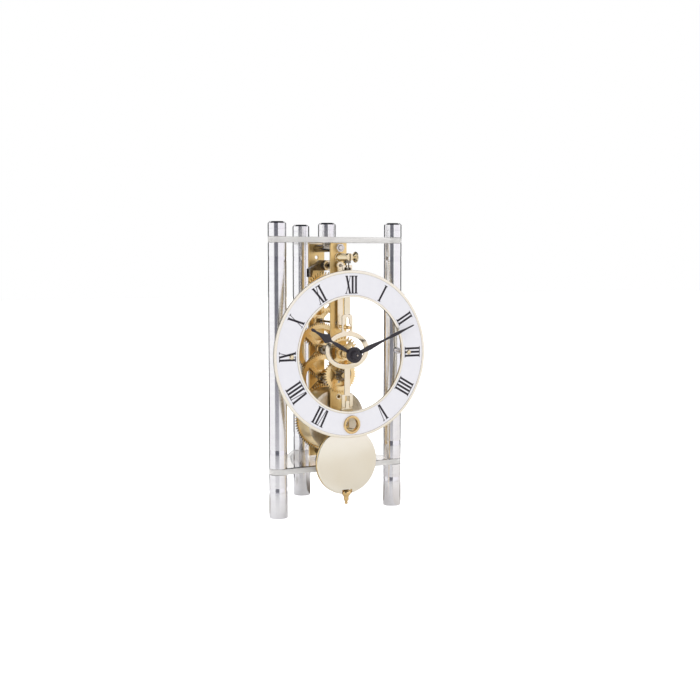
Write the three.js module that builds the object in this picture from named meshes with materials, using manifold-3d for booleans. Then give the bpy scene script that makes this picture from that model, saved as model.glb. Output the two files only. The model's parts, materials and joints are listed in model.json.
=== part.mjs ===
// Skeleton table clock: a pendulum movement hung between two clear acrylic shelves on three posts.
// Modelled upright in three.js axes (X right, Y up, Z towards the reader of the dial), in millimetres,
// then turned as a whole so that Z is up and the dial faces -Y.
import * as THREE from 'three';
import { mergeVertices } from 'three/addons/utils/BufferGeometryUtils.js';
import Module from 'manifold-3d';

const wasm = await Module();
wasm.setup();

// Clearances
const SEAT = 0.05;
const FIT = 0.25;
const RUNNING = 0.3;
const WHEEL_GAP = 0.45;

// Posts and shelves
const POST_DIAMETER = 12.4;
const POST_REACH = 59.3;
const POST_CHAMFER = 1.4;
const FOOT_CHAMFER = 0.4;
const CAP_HEIGHT = 10;
const SHELF_THICKNESS = 4;
const SPIGOT_RADIUS = 3;
const SPIGOT_GRIP = 6;
const SHELF_SCREW_RADIUS = 1.5;
const SHELF_SCREW_HEAD_RADIUS = 3;
const SHELF_SCREW_HEAD = 2;
const SHELF_SCREW_GRIP = 2.6;

// Dial
const DIAL_RADIUS = 56.4;
const DIAL_BAND = 18;
const DIAL_THICKNESS = 1.6;
const DIAL_OUTER_RIM = 1.9;
const DIAL_INNER_RIM = 1.5;
const CHAPTER_THICKNESS = 0.6;
const CHAPTER_SINK = 0.25;
const DIAL_SCREW_INSET = 5.5;
const DIAL_SCREW_RADIUS = 1;
const DIAL_SCREW_HEAD_RADIUS = 1.7;
const DIAL_SCREW_HEAD = 0.9;
const DIAL_SCREW_GRIP = 6;
const STANDOFF_RADIUS = 2.1;
const STANDOFF_LENGTH = 15.6;
const STANDOFF_SOCKET = 1.5;
const EYELET_RADIUS = 6.2;
const EYELET_BORE = 4.5;
const EYELET_WALL = 0.7;
const EYELET_FLANGE = 0.9;
const EYELET_TAIL = 0.8;

// Movement frame
const PLATE_WIDTH = 12;
const PLATE_THICKNESS = 1.8;
const MOVEMENT_SETBACK = 15.15;
const PILLAR_RADIUS = 2.2;
const TOP_PILLAR_RADIUS = 2.8;
const PILLAR_END_RADIUS = 1.5;
const PILLAR_BOSS_RADIUS = 3.2;
const PILLAR_TO_SHELF = 3.35;
const NUT_ACROSS_FLATS = 5.5;
const NUT_THICKNESS = 3.2;
const NUT_STANDOUT = 0.5;
const BACK_HOLE_RADIUS = 1.45;
const SPARE_HOLE_RADIUS = 1.1;
const SPARE_HOLE_DROP = 10.2;

// Train: tooth counts, modules and wheel layers
const GREAT_TEETH = 80;
const GREAT_MODULE = 0.58;
const INTERMEDIATE_LEAVES = 13;
const INTERMEDIATE_TEETH = 68;
const INTERMEDIATE_MODULE = 0.51;
const CENTRE_LEAVES = 12;
const CENTRE_TEETH = 72;
const THIRD_LEAVES = 6;
const THIRD_TEETH = 60;
const ESCAPE_LEAVES = 6;
const WHEEL_ADDENDUM = 0.8;
const WHEEL_DEDENDUM = 1;
const PINION_ADDENDUM = 0.55;
const PINION_DEDENDUM = 1.15;
const TOOTH_ROOT_SHARE = 0.42;
const LEAF_TIP_SHARE = 0.15;
const LEAF_ROOT_SHARE = 0.36;
const WHEEL_THICKNESS = 1.2;
const GREAT_THICKNESS = 2.3;
const WHEEL_SPACING = 2.3;
const WHEEL_RIM = 3.4;
const WHEEL_HUB_RADIUS = 4;
const COLLET_RADIUS = 3.2;
const SPOKES = 4;
const SPOKE_WIDTH = 3.4;
const PINION_OVERHANG = 1.2;
const PIVOT_RADIUS = 0.7;
const ARBOR_RADIUS = 0.85;
const CENTRE_ARBOR_RADIUS = 1.1;
const PIVOT_SHAKE = 0.3;

// Barrel and winding
const DRUM_RADIUS = 21.5;
const DRUM_LENGTH = 17;
const DRUM_WALL = 1.2;
const DRUM_SHAKE = 1.6;
const WINDING_RADIUS = 2;
const WINDING_HUB_RADIUS = 4;
const WINDING_SQUARE = 2.6;
const WINDING_SQUARE_LENGTH = 6.5;
const MAINSPRING_THICKNESS = 0.6;
const MAINSPRING_TURNS = 4;
const MAINSPRING_STEPS = 12;
const MAINSPRING_MARGIN = 0.8;
const GREAT_TO_PILLAR = 0.6;
const RATCHET_TEETH = 20;
const RATCHET_RADIUS = 8;
const RATCHET_TOOTH = 1.3;
const RATCHET_THICKNESS = 1.8;
const CLICK_REACH = 16.5;
const CLICK_WIDTH = 3.2;
const CLICK_EYE_RADIUS = 2.6;
const CLICK_STUD_RADIUS = 1.2;
const CLICK_STUD_HEAD_RADIUS = 2.2;
const CLICK_STUD_HEAD = 0.9;

// Escapement
const ESCAPE_TEETH = 42;
const ESCAPE_RADIUS = 14.8;
const ESCAPE_TOOTH = 2.2;
const ESCAPE_THICKNESS = 1;
const ESCAPE_RIM = 1.6;
const ESCAPE_HUB_RADIUS = 3.2;
const ESCAPE_SPOKE_WIDTH = 1.6;
const ESCAPE_SETBACK = 19.6;
const ANCHOR_HUB_RADIUS = 3.6;
const ANCHOR_HUB_GAP = 0.75;
const ANCHOR_STRIP = 1.2;
const ANCHOR_COLLAR_RADIUS = 3.5;
const ANCHOR_COLLAR = 3;
const ANCHOR_WIDTH = 6;
const PALLET_ANGLE = 46;
const PALLET_GAP = 1.15;
const PALLET_LENGTH = 5;
const PALLET_BACK = 1;
const CRUTCH_COLLET_RADIUS = 2.75;
const CRUTCH_COLLET_LENGTH = 1.2;
const CRUTCH_WIDTH = 4;
const CRUTCH_THICKNESS = 0.8;
const CRUTCH_STANDOUT = 1.8;
const CRUTCH_LENGTH = 41.6;
const CRUTCH_PIN_RADIUS = 1.2;
const CRUTCH_PIN_STANDOUT = 2.7;

// Motion work and hands
const CANNON_LEAVES = 10;
const MINUTE_WHEEL_TEETH = 40;
const MINUTE_LEAVES = 10;
const HOUR_TEETH = 30;
const HOUR_WHEEL_RIM = 2.2;
const MOTION_CENTRES = 15.2;
const CANNON_STANDOUT = 0.7;
const CANNON_TEETH_LENGTH = 2.7;
const CANNON_RADIUS = 1.9;
const MINUTE_WHEEL_STANDOUT = 1.5;
const MOTION_THICKNESS = 1.3;
const MINUTE_PINION_LENGTH = 4.3;
const MINUTE_STUD_RADIUS = 1;
const MINUTE_STUD_HEAD_RADIUS = 1.9;
const MINUTE_STUD_HEAD = 0.8;
const HOUR_WHEEL_STANDOUT = 5.3;
const HOUR_BOSS_RADIUS = 4.4;
const HOUR_BOSS_LENGTH = 4.4;
const HOUR_PIPE_RADIUS = 3;
const HAND_THICKNESS = 0.7;
const HAND_HUB_THICKNESS = 1.5;
const HAND_SPACING = 0.6;
const HOUR_HAND_OVER_DIAL = 1.3;
const HOUR_HUB_RADIUS = 5;
const HOUR_HAND_LENGTH = 36;
const HOUR_BELLY_AT = 22.5;
const HOUR_BELLY = 3.3;
const HOUR_NECK_AT = 18.8;
const HOUR_LEAF_AT = 11;
const HOUR_LEAF = 1.4;
const MINUTE_HUB_RADIUS = 5.35;
const MINUTE_HAND_LENGTH = 49.4;
const MINUTE_LEAF_AT = 11;
const MINUTE_LEAF = 1.7;
const MINUTE_WAIST_AT = 25.5;
const MINUTE_SWELL_AT = 35.5;
const MINUTE_SWELL = 1.25;
const HAND_NECK = 0.7;
const HAND_TIP = 0.4;
const HOUR_HAND_ANGLE = 300.5;
const MINUTE_HAND_ANGLE = 67.3;
const HAND_NUT_RADIUS = 3.1;
const HAND_NUT_LENGTH = 3.5;
const ARBOR_TIP_STANDOUT = 0.15;

// Suspension and pendulum
const STUD_RADIUS = 2.6;
const STUD_GAP = 0.6;
const STUD_OVER_COLLET = 0.25;
const STUD_FLANGE_RADIUS = 3.2;
const STUD_FLANGE = 0.9;
const STUD_NOSE = 1;
const STUD_SLIT = 0.8;
const STUD_SLIT_DEPTH = 2.4;
const KNOB_RADIUS = 3.7;
const KNOB_NECK_RADIUS = 2;
const KNOB_WAIST_RADIUS = 1.6;
const KNOB_NECK_LENGTH = 0.9;
const KNOB_FLARE = 2;
const KNOB_RIM = 1.2;
const KNOB_CROWN = 0.5;
const KNOB_SCREW_RADIUS = 0.8;
const KNOB_SCREW_REACH = 0.4;
const PENDULUM_SETOUT = 12.9;
const LEADER_THICKNESS = 1.2;
const CHOPS_LENGTH = 6.4;
const CHOPS_WIDTH = 3;
const CHOPS_HEIGHT = 2.4;
const TOP_CHOPS_WIDTH = 2.4;
const TOP_CHOPS_HEIGHT = 2.6;
const LEAF_SPACING = 4.6;
const LEAF_WIDTH = 1.4;
const LEAF_THICKNESS = 0.25;
const LEAF_FREE = 3;
const LEAF_GRIP = 1.2;
const LEADER_HEAD_WIDTH = 7;
const LEADER_BAR = 1.5;
const LEADER_STRIP = 4.2;
const KEYHOLE_PLATE_WIDTH = 7.9;
const KEYHOLE_PLATE_RISE = 8.8;
const KEYHOLE_CORNER = 2;
const KEYHOLE_RADIUS = 2.9;
const KEYHOLE_SLOT = 2.7;
const KEYHOLE_SLOT_RISE = 6.8;
const RING_DROP = 57;
const RING_HALF_WIDTH = 16.3;
const RING_HALF_HEIGHT = 12.8;
const RING_BAR = 3.3;
const FORK_DROP = 87;
const FORK_WIDTH = 8.1;
const FORK_HEIGHT = 9;
const FORK_SLOT_RISE = 7.9;
const ROD_SETBACK = 1.5;
const ROD_WIDTH = 4.3;
const ROD_NECK = 2.7;
const ROD_SHOULDER = 3;
const ROD_TOP_DROP = 91.4;
const ROD_PIN_RADIUS = 0.55;
const ROD_PIN_DROP = 2.2;
const ROD_PIN_LENGTH = 6.4;
const ROD_SCREW_RADIUS = 1;
const PENDULUM_LENGTH = 132.9;
const BOB_RADIUS = 22.7;
const BOB_EDGE = 4;
const BOB_CROWN = 0.5;
const BOB_NOTCH_DEPTH = 3.25;
const NUT_CLEAR_OF_TABLE = 7.7;
const RATING_NUT_RADIUS = 3.5;
const RATING_NUT_HEIGHT = 10.5;
const RATING_NUT_NECK = 1.7;
const RATING_NUT_BALL = 1.1;
const RATING_NUT_BORE_DEPTH = 7.6;
const RATING_TRAVEL = 2.2;

// Roundness
const POST_SIDES = 16;
const DIAL_SIDES = 48;
const BOB_SIDES = 32;
const SMALL_SIDES = 12;
const HOLE_SIDES = 10;

const finish = (color, roughness, metalness) => (name) =>
  new THREE.MeshStandardMaterial({ name, color, roughness, metalness });
const brass = finish(0xd2ad5e, 0.25, 1);
const steel = finish(0x8f8a82, 0.3, 1);
const polished = finish(0xe4e4e6, 0.1, 1);
const acrylic = finish(0xe6e8ea, 0.05, 0);
const white = finish(0xf3f3f6, 0.4, 0);
const black = finish(0x2b282c, 0.4, 0.2);

// Closed solids and their joins and cuts
function toSolid(geometry) {
  const bare = geometry.clone();
  bare.deleteAttribute('normal');
  bare.deleteAttribute('uv');
  const merged = mergeVertices(bare, 1e-4);
  const corners = [];
  for (let i = 0; i < merged.index.count; i += 3) {
    const [a, b, c] = [0, 1, 2].map((k) => merged.index.getX(i + k));
    if (a !== b && b !== c && c !== a) corners.push(a, b, c);
  }
  return new wasm.Manifold(new wasm.Mesh({
    numProp: 3,
    vertProperties: new Float32Array(merged.getAttribute('position').array),
    triVerts: new Uint32Array(corners),
  }));
}

function toGeometry(solid) {
  const mesh = solid.getMesh();
  const geometry = new THREE.BufferGeometry();
  geometry.setAttribute('position', new THREE.BufferAttribute(new Float32Array(mesh.vertProperties), 3));
  geometry.setIndex(new THREE.BufferAttribute(new Uint32Array(mesh.triVerts), 1));
  return geometry;
}

const join = (first, ...others) => others.reduce((sum, one) => sum.add(one), first);
const cut = (first, ...others) => others.reduce((rest, one) => rest.subtract(one), first);

// A piece turned about an upright axis, from [radius, height] pairs that run up its outside
function turned(profile, sides = SMALL_SIDES) {
  const points = profile.map(([radius, height]) => new THREE.Vector2(radius, height));
  return new THREE.LatheGeometry(points, sides);
}

const upright = (profile, x, z, sides) => toSolid(turned(profile, sides).translate(x, 0, z));

// A piece turned about an axis that points at the reader, from [radius, z] pairs
const onAxis = (profile, x, y, sides) =>
  toSolid(turned(profile, sides).rotateX(Math.PI / 2).translate(x, y, 0));

// A piece turned about an axis that points right, from [radius, x] pairs
const across = (profile, y, z, sides) =>
  toSolid(turned(profile, sides).rotateZ(-Math.PI / 2).translate(0, y, z));

const rod = (radius, from, to) => [[0, from], [radius, from], [radius, to], [0, to]];
const tube = (bore, radius, from, to) =>
  [[bore, from], [radius, from], [radius, to], [bore, to], [bore, from]];

const polar = (radius, angle, x = 0, y = 0) =>
  new THREE.Vector2(x + radius * Math.cos(angle), y + radius * Math.sin(angle));

// Points along an arc, angles in radians
const arc = (radius, from, to, steps, x = 0, y = 0) =>
  Array.from({ length: steps + 1 }, (_, i) => polar(radius, from + ((to - from) * i) / steps, x, y));

const circle = (radius, x = 0, y = 0, sides = HOLE_SIDES) =>
  arc(radius, 0, 2 * Math.PI, sides, x, y).slice(0, sides);

const rectangle = (left, bottom, right, top) => [
  new THREE.Vector2(left, bottom),
  new THREE.Vector2(right, bottom),
  new THREE.Vector2(right, top),
  new THREE.Vector2(left, top),
];

// A flat piece seen from the front, between two depths
function flat(outline, holes, from, to) {
  const shape = new THREE.Shape(outline);
  shape.holes = holes.map((hole) => new THREE.Path(hole));
  const geometry = new THREE.ExtrudeGeometry(shape, { depth: to - from, bevelEnabled: false });
  return toSolid(geometry.translate(0, 0, from));
}

// A flat piece seen from above, with its outline drawn back from the front posts
function shelf(outline, holes, bottom, top) {
  const shape = new THREE.Shape(outline);
  shape.holes = holes.map((hole) => new THREE.Path(hole));
  const geometry = new THREE.ExtrudeGeometry(shape, { depth: top - bottom, bevelEnabled: false });
  return toSolid(geometry.rotateX(-Math.PI / 2).translate(0, bottom, 0));
}

function box(left, right, bottom, top, from, to) {
  const geometry = new THREE.BoxGeometry(right - left, top - bottom, to - from);
  return toSolid(geometry.translate((left + right) / 2, (bottom + top) / 2, (from + to) / 2));
}

const clock = new THREE.Group();

function place(name, solid, material) {
  const mesh = new THREE.Mesh(toGeometry(solid), material(name));
  mesh.name = name;
  clock.add(mesh);
}

// Pitch radii, modules and centre distances of the train
const pitch = (teeth, module) => (teeth * module) / 2;
const wheelTip = (teeth, module) => pitch(teeth, module) + WHEEL_ADDENDUM * module;
const centres = (teeth, leaves, module) => pitch(teeth + leaves, module);
const greatCentres = centres(GREAT_TEETH, INTERMEDIATE_LEAVES, GREAT_MODULE);
const intermediateCentres = centres(INTERMEDIATE_TEETH, CENTRE_LEAVES, INTERMEDIATE_MODULE);
// The largest module whose wheel still passes the arbor beside it
const clearing = (distance, arbor, teeth) => (distance - arbor - WHEEL_GAP) / (teeth / 2 + WHEEL_ADDENDUM);
const centreModule = clearing(intermediateCentres, ARBOR_RADIUS, CENTRE_TEETH);
const centreCentres = centres(CENTRE_TEETH, THIRD_LEAVES, centreModule);
const thirdModule = clearing(centreCentres, CENTRE_ARBOR_RADIUS, THIRD_TEETH);
const thirdCentres = centres(THIRD_TEETH, ESCAPE_LEAVES, thirdModule);
const palletCentres = ESCAPE_RADIUS + ANCHOR_HUB_GAP + ANCHOR_HUB_RADIUS;
const minuteModule = (2 * MOTION_CENTRES) / (CANNON_LEAVES + MINUTE_WHEEL_TEETH);
const hourModule = (2 * MOTION_CENTRES) / (MINUTE_LEAVES + HOUR_TEETH);

// Heights above the table, from the rating nut up to the suspension and down again along the train
const bobRest = NUT_CLEAR_OF_TABLE + RATING_NUT_HEIGHT + SEAT;
const bobY = bobRest - BOB_NOTCH_DEPTH + BOB_RADIUS;
const palletY = bobY + PENDULUM_LENGTH;
const escapeY = palletY - palletCentres;
const thirdY = escapeY - thirdCentres;
const centreY = thirdY - centreCentres;
const intermediateY = centreY - intermediateCentres;
const barrelY = intermediateY - greatCentres;
const minuteWheelY = centreY - MOTION_CENTRES;
const studY = palletY + CRUTCH_COLLET_RADIUS + STUD_OVER_COLLET + STUD_RADIUS;
const nutCorner = NUT_ACROSS_FLATS / Math.sqrt(3);
const topPillarY = studY + STUD_RADIUS + STUD_GAP + nutCorner;
const greatTip = wheelTip(GREAT_TEETH, GREAT_MODULE);
const bottomPillarY = barrelY - greatTip - GREAT_TO_PILLAR - PILLAR_RADIUS;
const topShelfY = topPillarY + PILLAR_TO_SHELF;
const baseTopY = bottomPillarY - PILLAR_TO_SHELF;
const legHeight = baseTopY - SHELF_THICKNESS;
const capY = topShelfY + SHELF_THICKNESS;

// Depths: wheel layers from the back plate forwards set the plate spacing
const layers = 4 * WHEEL_SPACING + 3 * WHEEL_THICKNESS + GREAT_THICKNESS + DRUM_LENGTH + DRUM_SHAKE;
const backInner = -MOVEMENT_SETBACK - layers / 2;
const backOuter = backInner - PLATE_THICKNESS;
const frontInner = backInner + layers;
const frontFace = frontInner + PLATE_THICKNESS;
const thirdZ = backInner + WHEEL_SPACING;
const centreZ = thirdZ + WHEEL_THICKNESS + WHEEL_SPACING;
const intermediateZ = centreZ + WHEEL_THICKNESS + WHEEL_SPACING;
const greatZ = intermediateZ + WHEEL_THICKNESS + WHEEL_SPACING;
const drumZ = greatZ + GREAT_THICKNESS + SEAT;
const escapeZ = frontInner - ESCAPE_SETBACK - ESCAPE_THICKNESS;
const pendulumZ = frontFace + PENDULUM_SETOUT;
const rodZ = pendulumZ - ROD_SETBACK;
const postRadius = POST_DIAMETER / 2;
const dialBack = postRadius + STANDOFF_LENGTH + SEAT;
const dialFront = dialBack + DIAL_THICKNESS;
const chapterFront = dialFront - CHAPTER_SINK;
const hourHandZ = dialFront + HOUR_HAND_OVER_DIAL;
const minuteHandZ = hourHandZ + HAND_HUB_THICKNESS + HAND_SPACING;
const handNutZ = minuteHandZ + HAND_HUB_THICKNESS + SEAT;
const handEnd = handNutZ + HAND_NUT_LENGTH;
const arborEnd = handEnd + ARBOR_TIP_STANDOUT;

// Post places, measured right of centre and back from the front posts
const dialHole = DIAL_RADIUS - DIAL_BAND;
const postX = dialHole + DIAL_SCREW_INSET;
const posts = {
  left: [-postX, 0],
  right: [postX, 0],
  rear: [0, POST_REACH],
};

// Shelves: a triangle with corners rounded about the posts
function shelfOutline() {
  const corners = [posts.left, posts.right, posts.rear];
  const heading = ([ax, ay], [bx, by]) => Math.atan2(by - ay, bx - ax) - Math.PI / 2;
  return corners.flatMap((corner, i) => {
    const from = heading(corners[(i + 2) % 3], corner);
    const turn = heading(corner, corners[(i + 1) % 3]) - from;
    const sweep = (turn + 2 * Math.PI) % (2 * Math.PI);
    return arc(postRadius, from, from + sweep, POST_SIDES / 2, ...corner);
  });
}

const spigotHoles = () => Object.values(posts).map(([x, back]) => circle(SPIGOT_RADIUS + FIT, x, back));
const screwHole = () => circle(SHELF_SCREW_RADIUS + FIT, 0, MOVEMENT_SETBACK);

function makeShelves() {
  const holes = () => [...spigotHoles(), screwHole()];
  place('base_plate', shelf(shelfOutline(), holes(), legHeight + SEAT, baseTopY - SEAT), acrylic);
  place('top_plate', shelf(shelfOutline(), holes(), topShelfY + SEAT, capY - SEAT), acrylic);
}

function leg([x, back]) {
  const body = upright([
    [0, 0],
    [postRadius - FOOT_CHAMFER, 0],
    [postRadius, FOOT_CHAMFER],
    [postRadius, legHeight],
    [0, legHeight],
  ], x, -back, POST_SIDES);
  const socket = rod(SPIGOT_RADIUS + FIT, legHeight - SPIGOT_GRIP - FIT, legHeight + FIT);
  return cut(body, upright(socket, x, -back, HOLE_SIDES));
}

function column([x, back]) {
  return upright([
    [0, legHeight - SPIGOT_GRIP],
    [SPIGOT_RADIUS, legHeight - SPIGOT_GRIP],
    [SPIGOT_RADIUS, baseTopY],
    [postRadius, baseTopY],
    [postRadius, topShelfY],
    [SPIGOT_RADIUS, topShelfY],
    [SPIGOT_RADIUS, capY + SPIGOT_GRIP],
    [0, capY + SPIGOT_GRIP],
  ], x, -back, POST_SIDES);
}

// The upper part of a post above the top shelf, with its chamfered end
const capProfile = () => [
  [0, capY],
  [postRadius, capY],
  [postRadius, capY + CAP_HEIGHT - POST_CHAMFER],
  [postRadius - POST_CHAMFER, capY + CAP_HEIGHT],
  [0, capY + CAP_HEIGHT],
];

function cap([x, back]) {
  const socket = rod(SPIGOT_RADIUS + FIT, capY - FIT, capY + SPIGOT_GRIP + FIT);
  return cut(upright(capProfile(), x, -back, POST_SIDES), upright(socket, x, -back, HOLE_SIDES));
}

function makePosts() {
  for (const [side, spot] of Object.entries(posts)) {
    const socket = onAxis(rod(STANDOFF_RADIUS + FIT, postRadius - STANDOFF_SOCKET - FIT, 2 * postRadius),
      spot[0], centreY, SMALL_SIDES);
    const isFront = spot[1] === 0;
    place(`leg_${side}`, leg(spot), polished);
    place(`column_${side}`, isFront ? cut(column(spot), socket) : column(spot), polished);
    place(`cap_${side}`, cap(spot), polished);
  }
}

// The short fourth cap over the movement, whose screw draws the top pillar up to the shelf
function makeShelfScrews() {
  const screw = rod(SHELF_SCREW_RADIUS, topShelfY - SHELF_SCREW_GRIP, capY + POST_CHAMFER);
  const hanger = upright(capProfile(), 0, -MOVEMENT_SETBACK, POST_SIDES);
  place('hanger_cap', join(hanger, upright(screw, 0, -MOVEMENT_SETBACK, HOLE_SIDES)), polished);
  place('base_screw', upright([
    [0, legHeight - SHELF_SCREW_HEAD],
    [SHELF_SCREW_HEAD_RADIUS, legHeight - SHELF_SCREW_HEAD],
    [SHELF_SCREW_HEAD_RADIUS, legHeight],
    [SHELF_SCREW_RADIUS, legHeight],
    [SHELF_SCREW_RADIUS, baseTopY + SHELF_SCREW_GRIP],
    [0, baseTopY + SHELF_SCREW_GRIP],
  ], 0, -MOVEMENT_SETBACK, SMALL_SIDES), steel);
}

// Movement plates with their pivot and pillar holes
function makePlates() {
  const half = PLATE_WIDTH / 2;
  const outline = () => rectangle(-half, baseTopY + SEAT, half, topShelfY - SEAT);
  const hole = (radius, y) => circle(radius + FIT, 0, y);
  const shared = () => [
    hole(PILLAR_END_RADIUS, bottomPillarY),
    hole(PILLAR_END_RADIUS, topPillarY),
    hole(WINDING_RADIUS, barrelY),
    hole(PIVOT_RADIUS, intermediateY),
    hole(PIVOT_RADIUS, thirdY),
    hole(PIVOT_RADIUS, escapeY),
    hole(CENTRE_ARBOR_RADIUS, centreY),
    hole(ARBOR_RADIUS, palletY),
  ];
  const frontOnly = [
    hole(PILLAR_END_RADIUS, studY),
    hole(MINUTE_STUD_RADIUS, minuteWheelY),
    circle(SPARE_HOLE_RADIUS, 0, intermediateY - SPARE_HOLE_DROP),
  ];
  const backOnly = [
    circle(BACK_HOLE_RADIUS, 0, studY),
    hole(CLICK_STUD_RADIUS, barrelY + CLICK_REACH),
  ];
  place('front_plate', flat(outline(), [...shared(), ...frontOnly], frontInner, frontFace), brass);
  place('back_plate', flat(outline(), [...shared(), ...backOnly], backOuter, backInner), brass);
}

// A pillar between the plates, with a boss tapped for the shelf's screw
function pillar(y, radius, bossFrom, bossTo) {
  const bar = onAxis([
    [0, backOuter],
    [PILLAR_END_RADIUS, backOuter],
    [PILLAR_END_RADIUS, backInner + SEAT],
    [radius, backInner + SEAT],
    [radius, frontInner - SEAT],
    [PILLAR_END_RADIUS, frontInner - SEAT],
    [PILLAR_END_RADIUS, frontFace + NUT_THICKNESS + NUT_STANDOUT],
    [0, frontFace + NUT_THICKNESS + NUT_STANDOUT],
  ], 0, y, SMALL_SIDES);
  const boss = upright(rod(PILLAR_BOSS_RADIUS, bossFrom, bossTo), 0, -MOVEMENT_SETBACK, SMALL_SIDES);
  const reach = SHELF_SCREW_GRIP + FIT;
  const end = bossTo > y ? bossTo : bossFrom;
  const [tapFrom, tapTo] = [end - reach, end + reach];
  const tapped = upright(rod(SHELF_SCREW_RADIUS + FIT, tapFrom, tapTo), 0, -MOVEMENT_SETBACK, HOLE_SIDES);
  return cut(join(bar, boss), tapped);
}

function pillarNut(y) {
  const corners = circle(nutCorner, 0, y, 6);
  const bore = circle(PILLAR_END_RADIUS + FIT, 0, y);
  return flat(corners, [bore], frontFace + SEAT, frontFace + NUT_THICKNESS);
}

function makePillars() {
  place('bottom_pillar', pillar(bottomPillarY, PILLAR_RADIUS, baseTopY + SEAT, bottomPillarY), steel);
  place('top_pillar', pillar(topPillarY, TOP_PILLAR_RADIUS, topPillarY, topShelfY - SEAT), steel);
  place('bottom_pillar_nut', pillarNut(bottomPillarY), steel);
  place('top_pillar_nut', pillarNut(topPillarY), steel);
}

// Toothed outline: straight-sided teeth, each from root to tips and back; tooth 0 stands at the given angle
function toothed(teeth, rootRadius, tipRadius, rootShare, tips, angle) {
  const step = (2 * Math.PI) / teeth;
  return Array.from({ length: teeth }, (_, i) => angle + i * step).flatMap((middle) => [
    polar(rootRadius, middle - rootShare * step),
    ...tips.map((share) => polar(tipRadius, middle + share * step)),
    polar(rootRadius, middle + rootShare * step),
  ]);
}

// Wheel teeth come to a point
const wheelOutline = (teeth, module, angle) => toothed(teeth,
  pitch(teeth, module) - WHEEL_DEDENDUM * module, wheelTip(teeth, module),
  TOOTH_ROOT_SHARE, [0], angle);

// A pinion stands with a space, not a leaf, at the given angle, ready for the wheel's tooth
const pinionOutline = (leaves, module, angle) => toothed(leaves,
  pitch(leaves, module) - PINION_DEDENDUM * module, pitch(leaves, module) + PINION_ADDENDUM * module,
  LEAF_ROOT_SHARE, [-LEAF_TIP_SHARE, LEAF_TIP_SHARE], angle + Math.PI / leaves);

// Openings between straight spokes, each from hub to rim
function crossings(hubRadius, rimRadius, spokeWidth) {
  const sector = (2 * Math.PI) / SPOKES;
  const edge = (radius) => Math.asin(spokeWidth / 2 / radius);
  return Array.from({ length: SPOKES }, (_, i) => i * sector + sector / 2).map((start) => [
    ...arc(rimRadius, start + edge(rimRadius), start + sector - edge(rimRadius), 5),
    ...arc(hubRadius, start + sector - edge(hubRadius), start + edge(hubRadius), 2),
  ]);
}

const UP = Math.PI / 2;
const DOWN = -Math.PI / 2;

// A spoked wheel on a collet that reaches from the pinion in front to just clear of the layer behind
function spokedWheel(teeth, module, angle, arborRadius, y, from) {
  const rim = pitch(teeth, module) - WHEEL_DEDENDUM * module - WHEEL_RIM;
  const openings = crossings(WHEEL_HUB_RADIUS, rim, SPOKE_WIDTH);
  const wheel = flat(wheelOutline(teeth, module, angle), openings, from, from + WHEEL_THICKNESS);
  const colletFrom = from - WHEEL_SPACING + RUNNING;
  const colletTo = from + WHEEL_THICKNESS + WHEEL_SPACING - PINION_OVERHANG - SEAT;
  const collet = onAxis(rod(COLLET_RADIUS, colletFrom, colletTo), 0, 0, SMALL_SIDES);
  const bore = onAxis(rod(arborRadius + FIT, colletFrom - FIT, colletTo + FIT), 0, 0, SMALL_SIDES);
  return cut(join(wheel, collet), bore).translate([0, y, 0]);
}

// A steel arbor between the plates, with a pinion cut on it round the wheel that drives it
function pinionArbor(leaves, module, drivenBy, driverThickness, y, extra = PINION_OVERHANG) {
  const shaft = onAxis([
    [0, backOuter],
    [PIVOT_RADIUS, backOuter],
    [PIVOT_RADIUS, backInner + PIVOT_SHAKE],
    [ARBOR_RADIUS, backInner + PIVOT_SHAKE],
    [ARBOR_RADIUS, frontInner - PIVOT_SHAKE],
    [PIVOT_RADIUS, frontInner - PIVOT_SHAKE],
    [PIVOT_RADIUS, frontFace],
    [0, frontFace],
  ], 0, y, HOLE_SIDES);
  const from = drivenBy - PINION_OVERHANG;
  const to = drivenBy + driverThickness + extra;
  const pinion = flat(pinionOutline(leaves, module, DOWN), [], from, to);
  return join(shaft, pinion.translate([0, y, 0]));
}

function makeTrain() {
  place('intermediate_arbor',
    pinionArbor(INTERMEDIATE_LEAVES, GREAT_MODULE, greatZ, GREAT_THICKNESS, intermediateY), steel);
  place('intermediate_wheel', spokedWheel(INTERMEDIATE_TEETH, INTERMEDIATE_MODULE, UP,
    ARBOR_RADIUS, intermediateY, intermediateZ), brass);
  place('centre_wheel', spokedWheel(CENTRE_TEETH, centreModule, UP,
    CENTRE_ARBOR_RADIUS, centreY, centreZ), brass);
  place('third_arbor',
    pinionArbor(THIRD_LEAVES, centreModule, centreZ, WHEEL_THICKNESS, thirdY), steel);
  place('third_wheel', spokedWheel(THIRD_TEETH, thirdModule, UP, ARBOR_RADIUS, thirdY, thirdZ), brass);
  place('escape_arbor',
    pinionArbor(ESCAPE_LEAVES, thirdModule, thirdZ, WHEEL_THICKNESS, escapeY), steel);
  makeCentreArbor();
}

// The centre arbor runs through both plates and inside the cannon pipe out to the hands
function makeCentreArbor() {
  const tail = CENTRE_ARBOR_RADIUS;
  const shaft = onAxis(rod(tail, backOuter, arborEnd), 0, centreY, SMALL_SIDES);
  const from = intermediateZ - PINION_OVERHANG;
  const to = intermediateZ + WHEEL_THICKNESS + 2 * WHEEL_SPACING;
  const pinion = flat(pinionOutline(CENTRE_LEAVES, INTERMEDIATE_MODULE, DOWN), [], from, to);
  place('centre_arbor', join(shaft, pinion.translate([0, centreY, 0])), steel);
}

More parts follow.
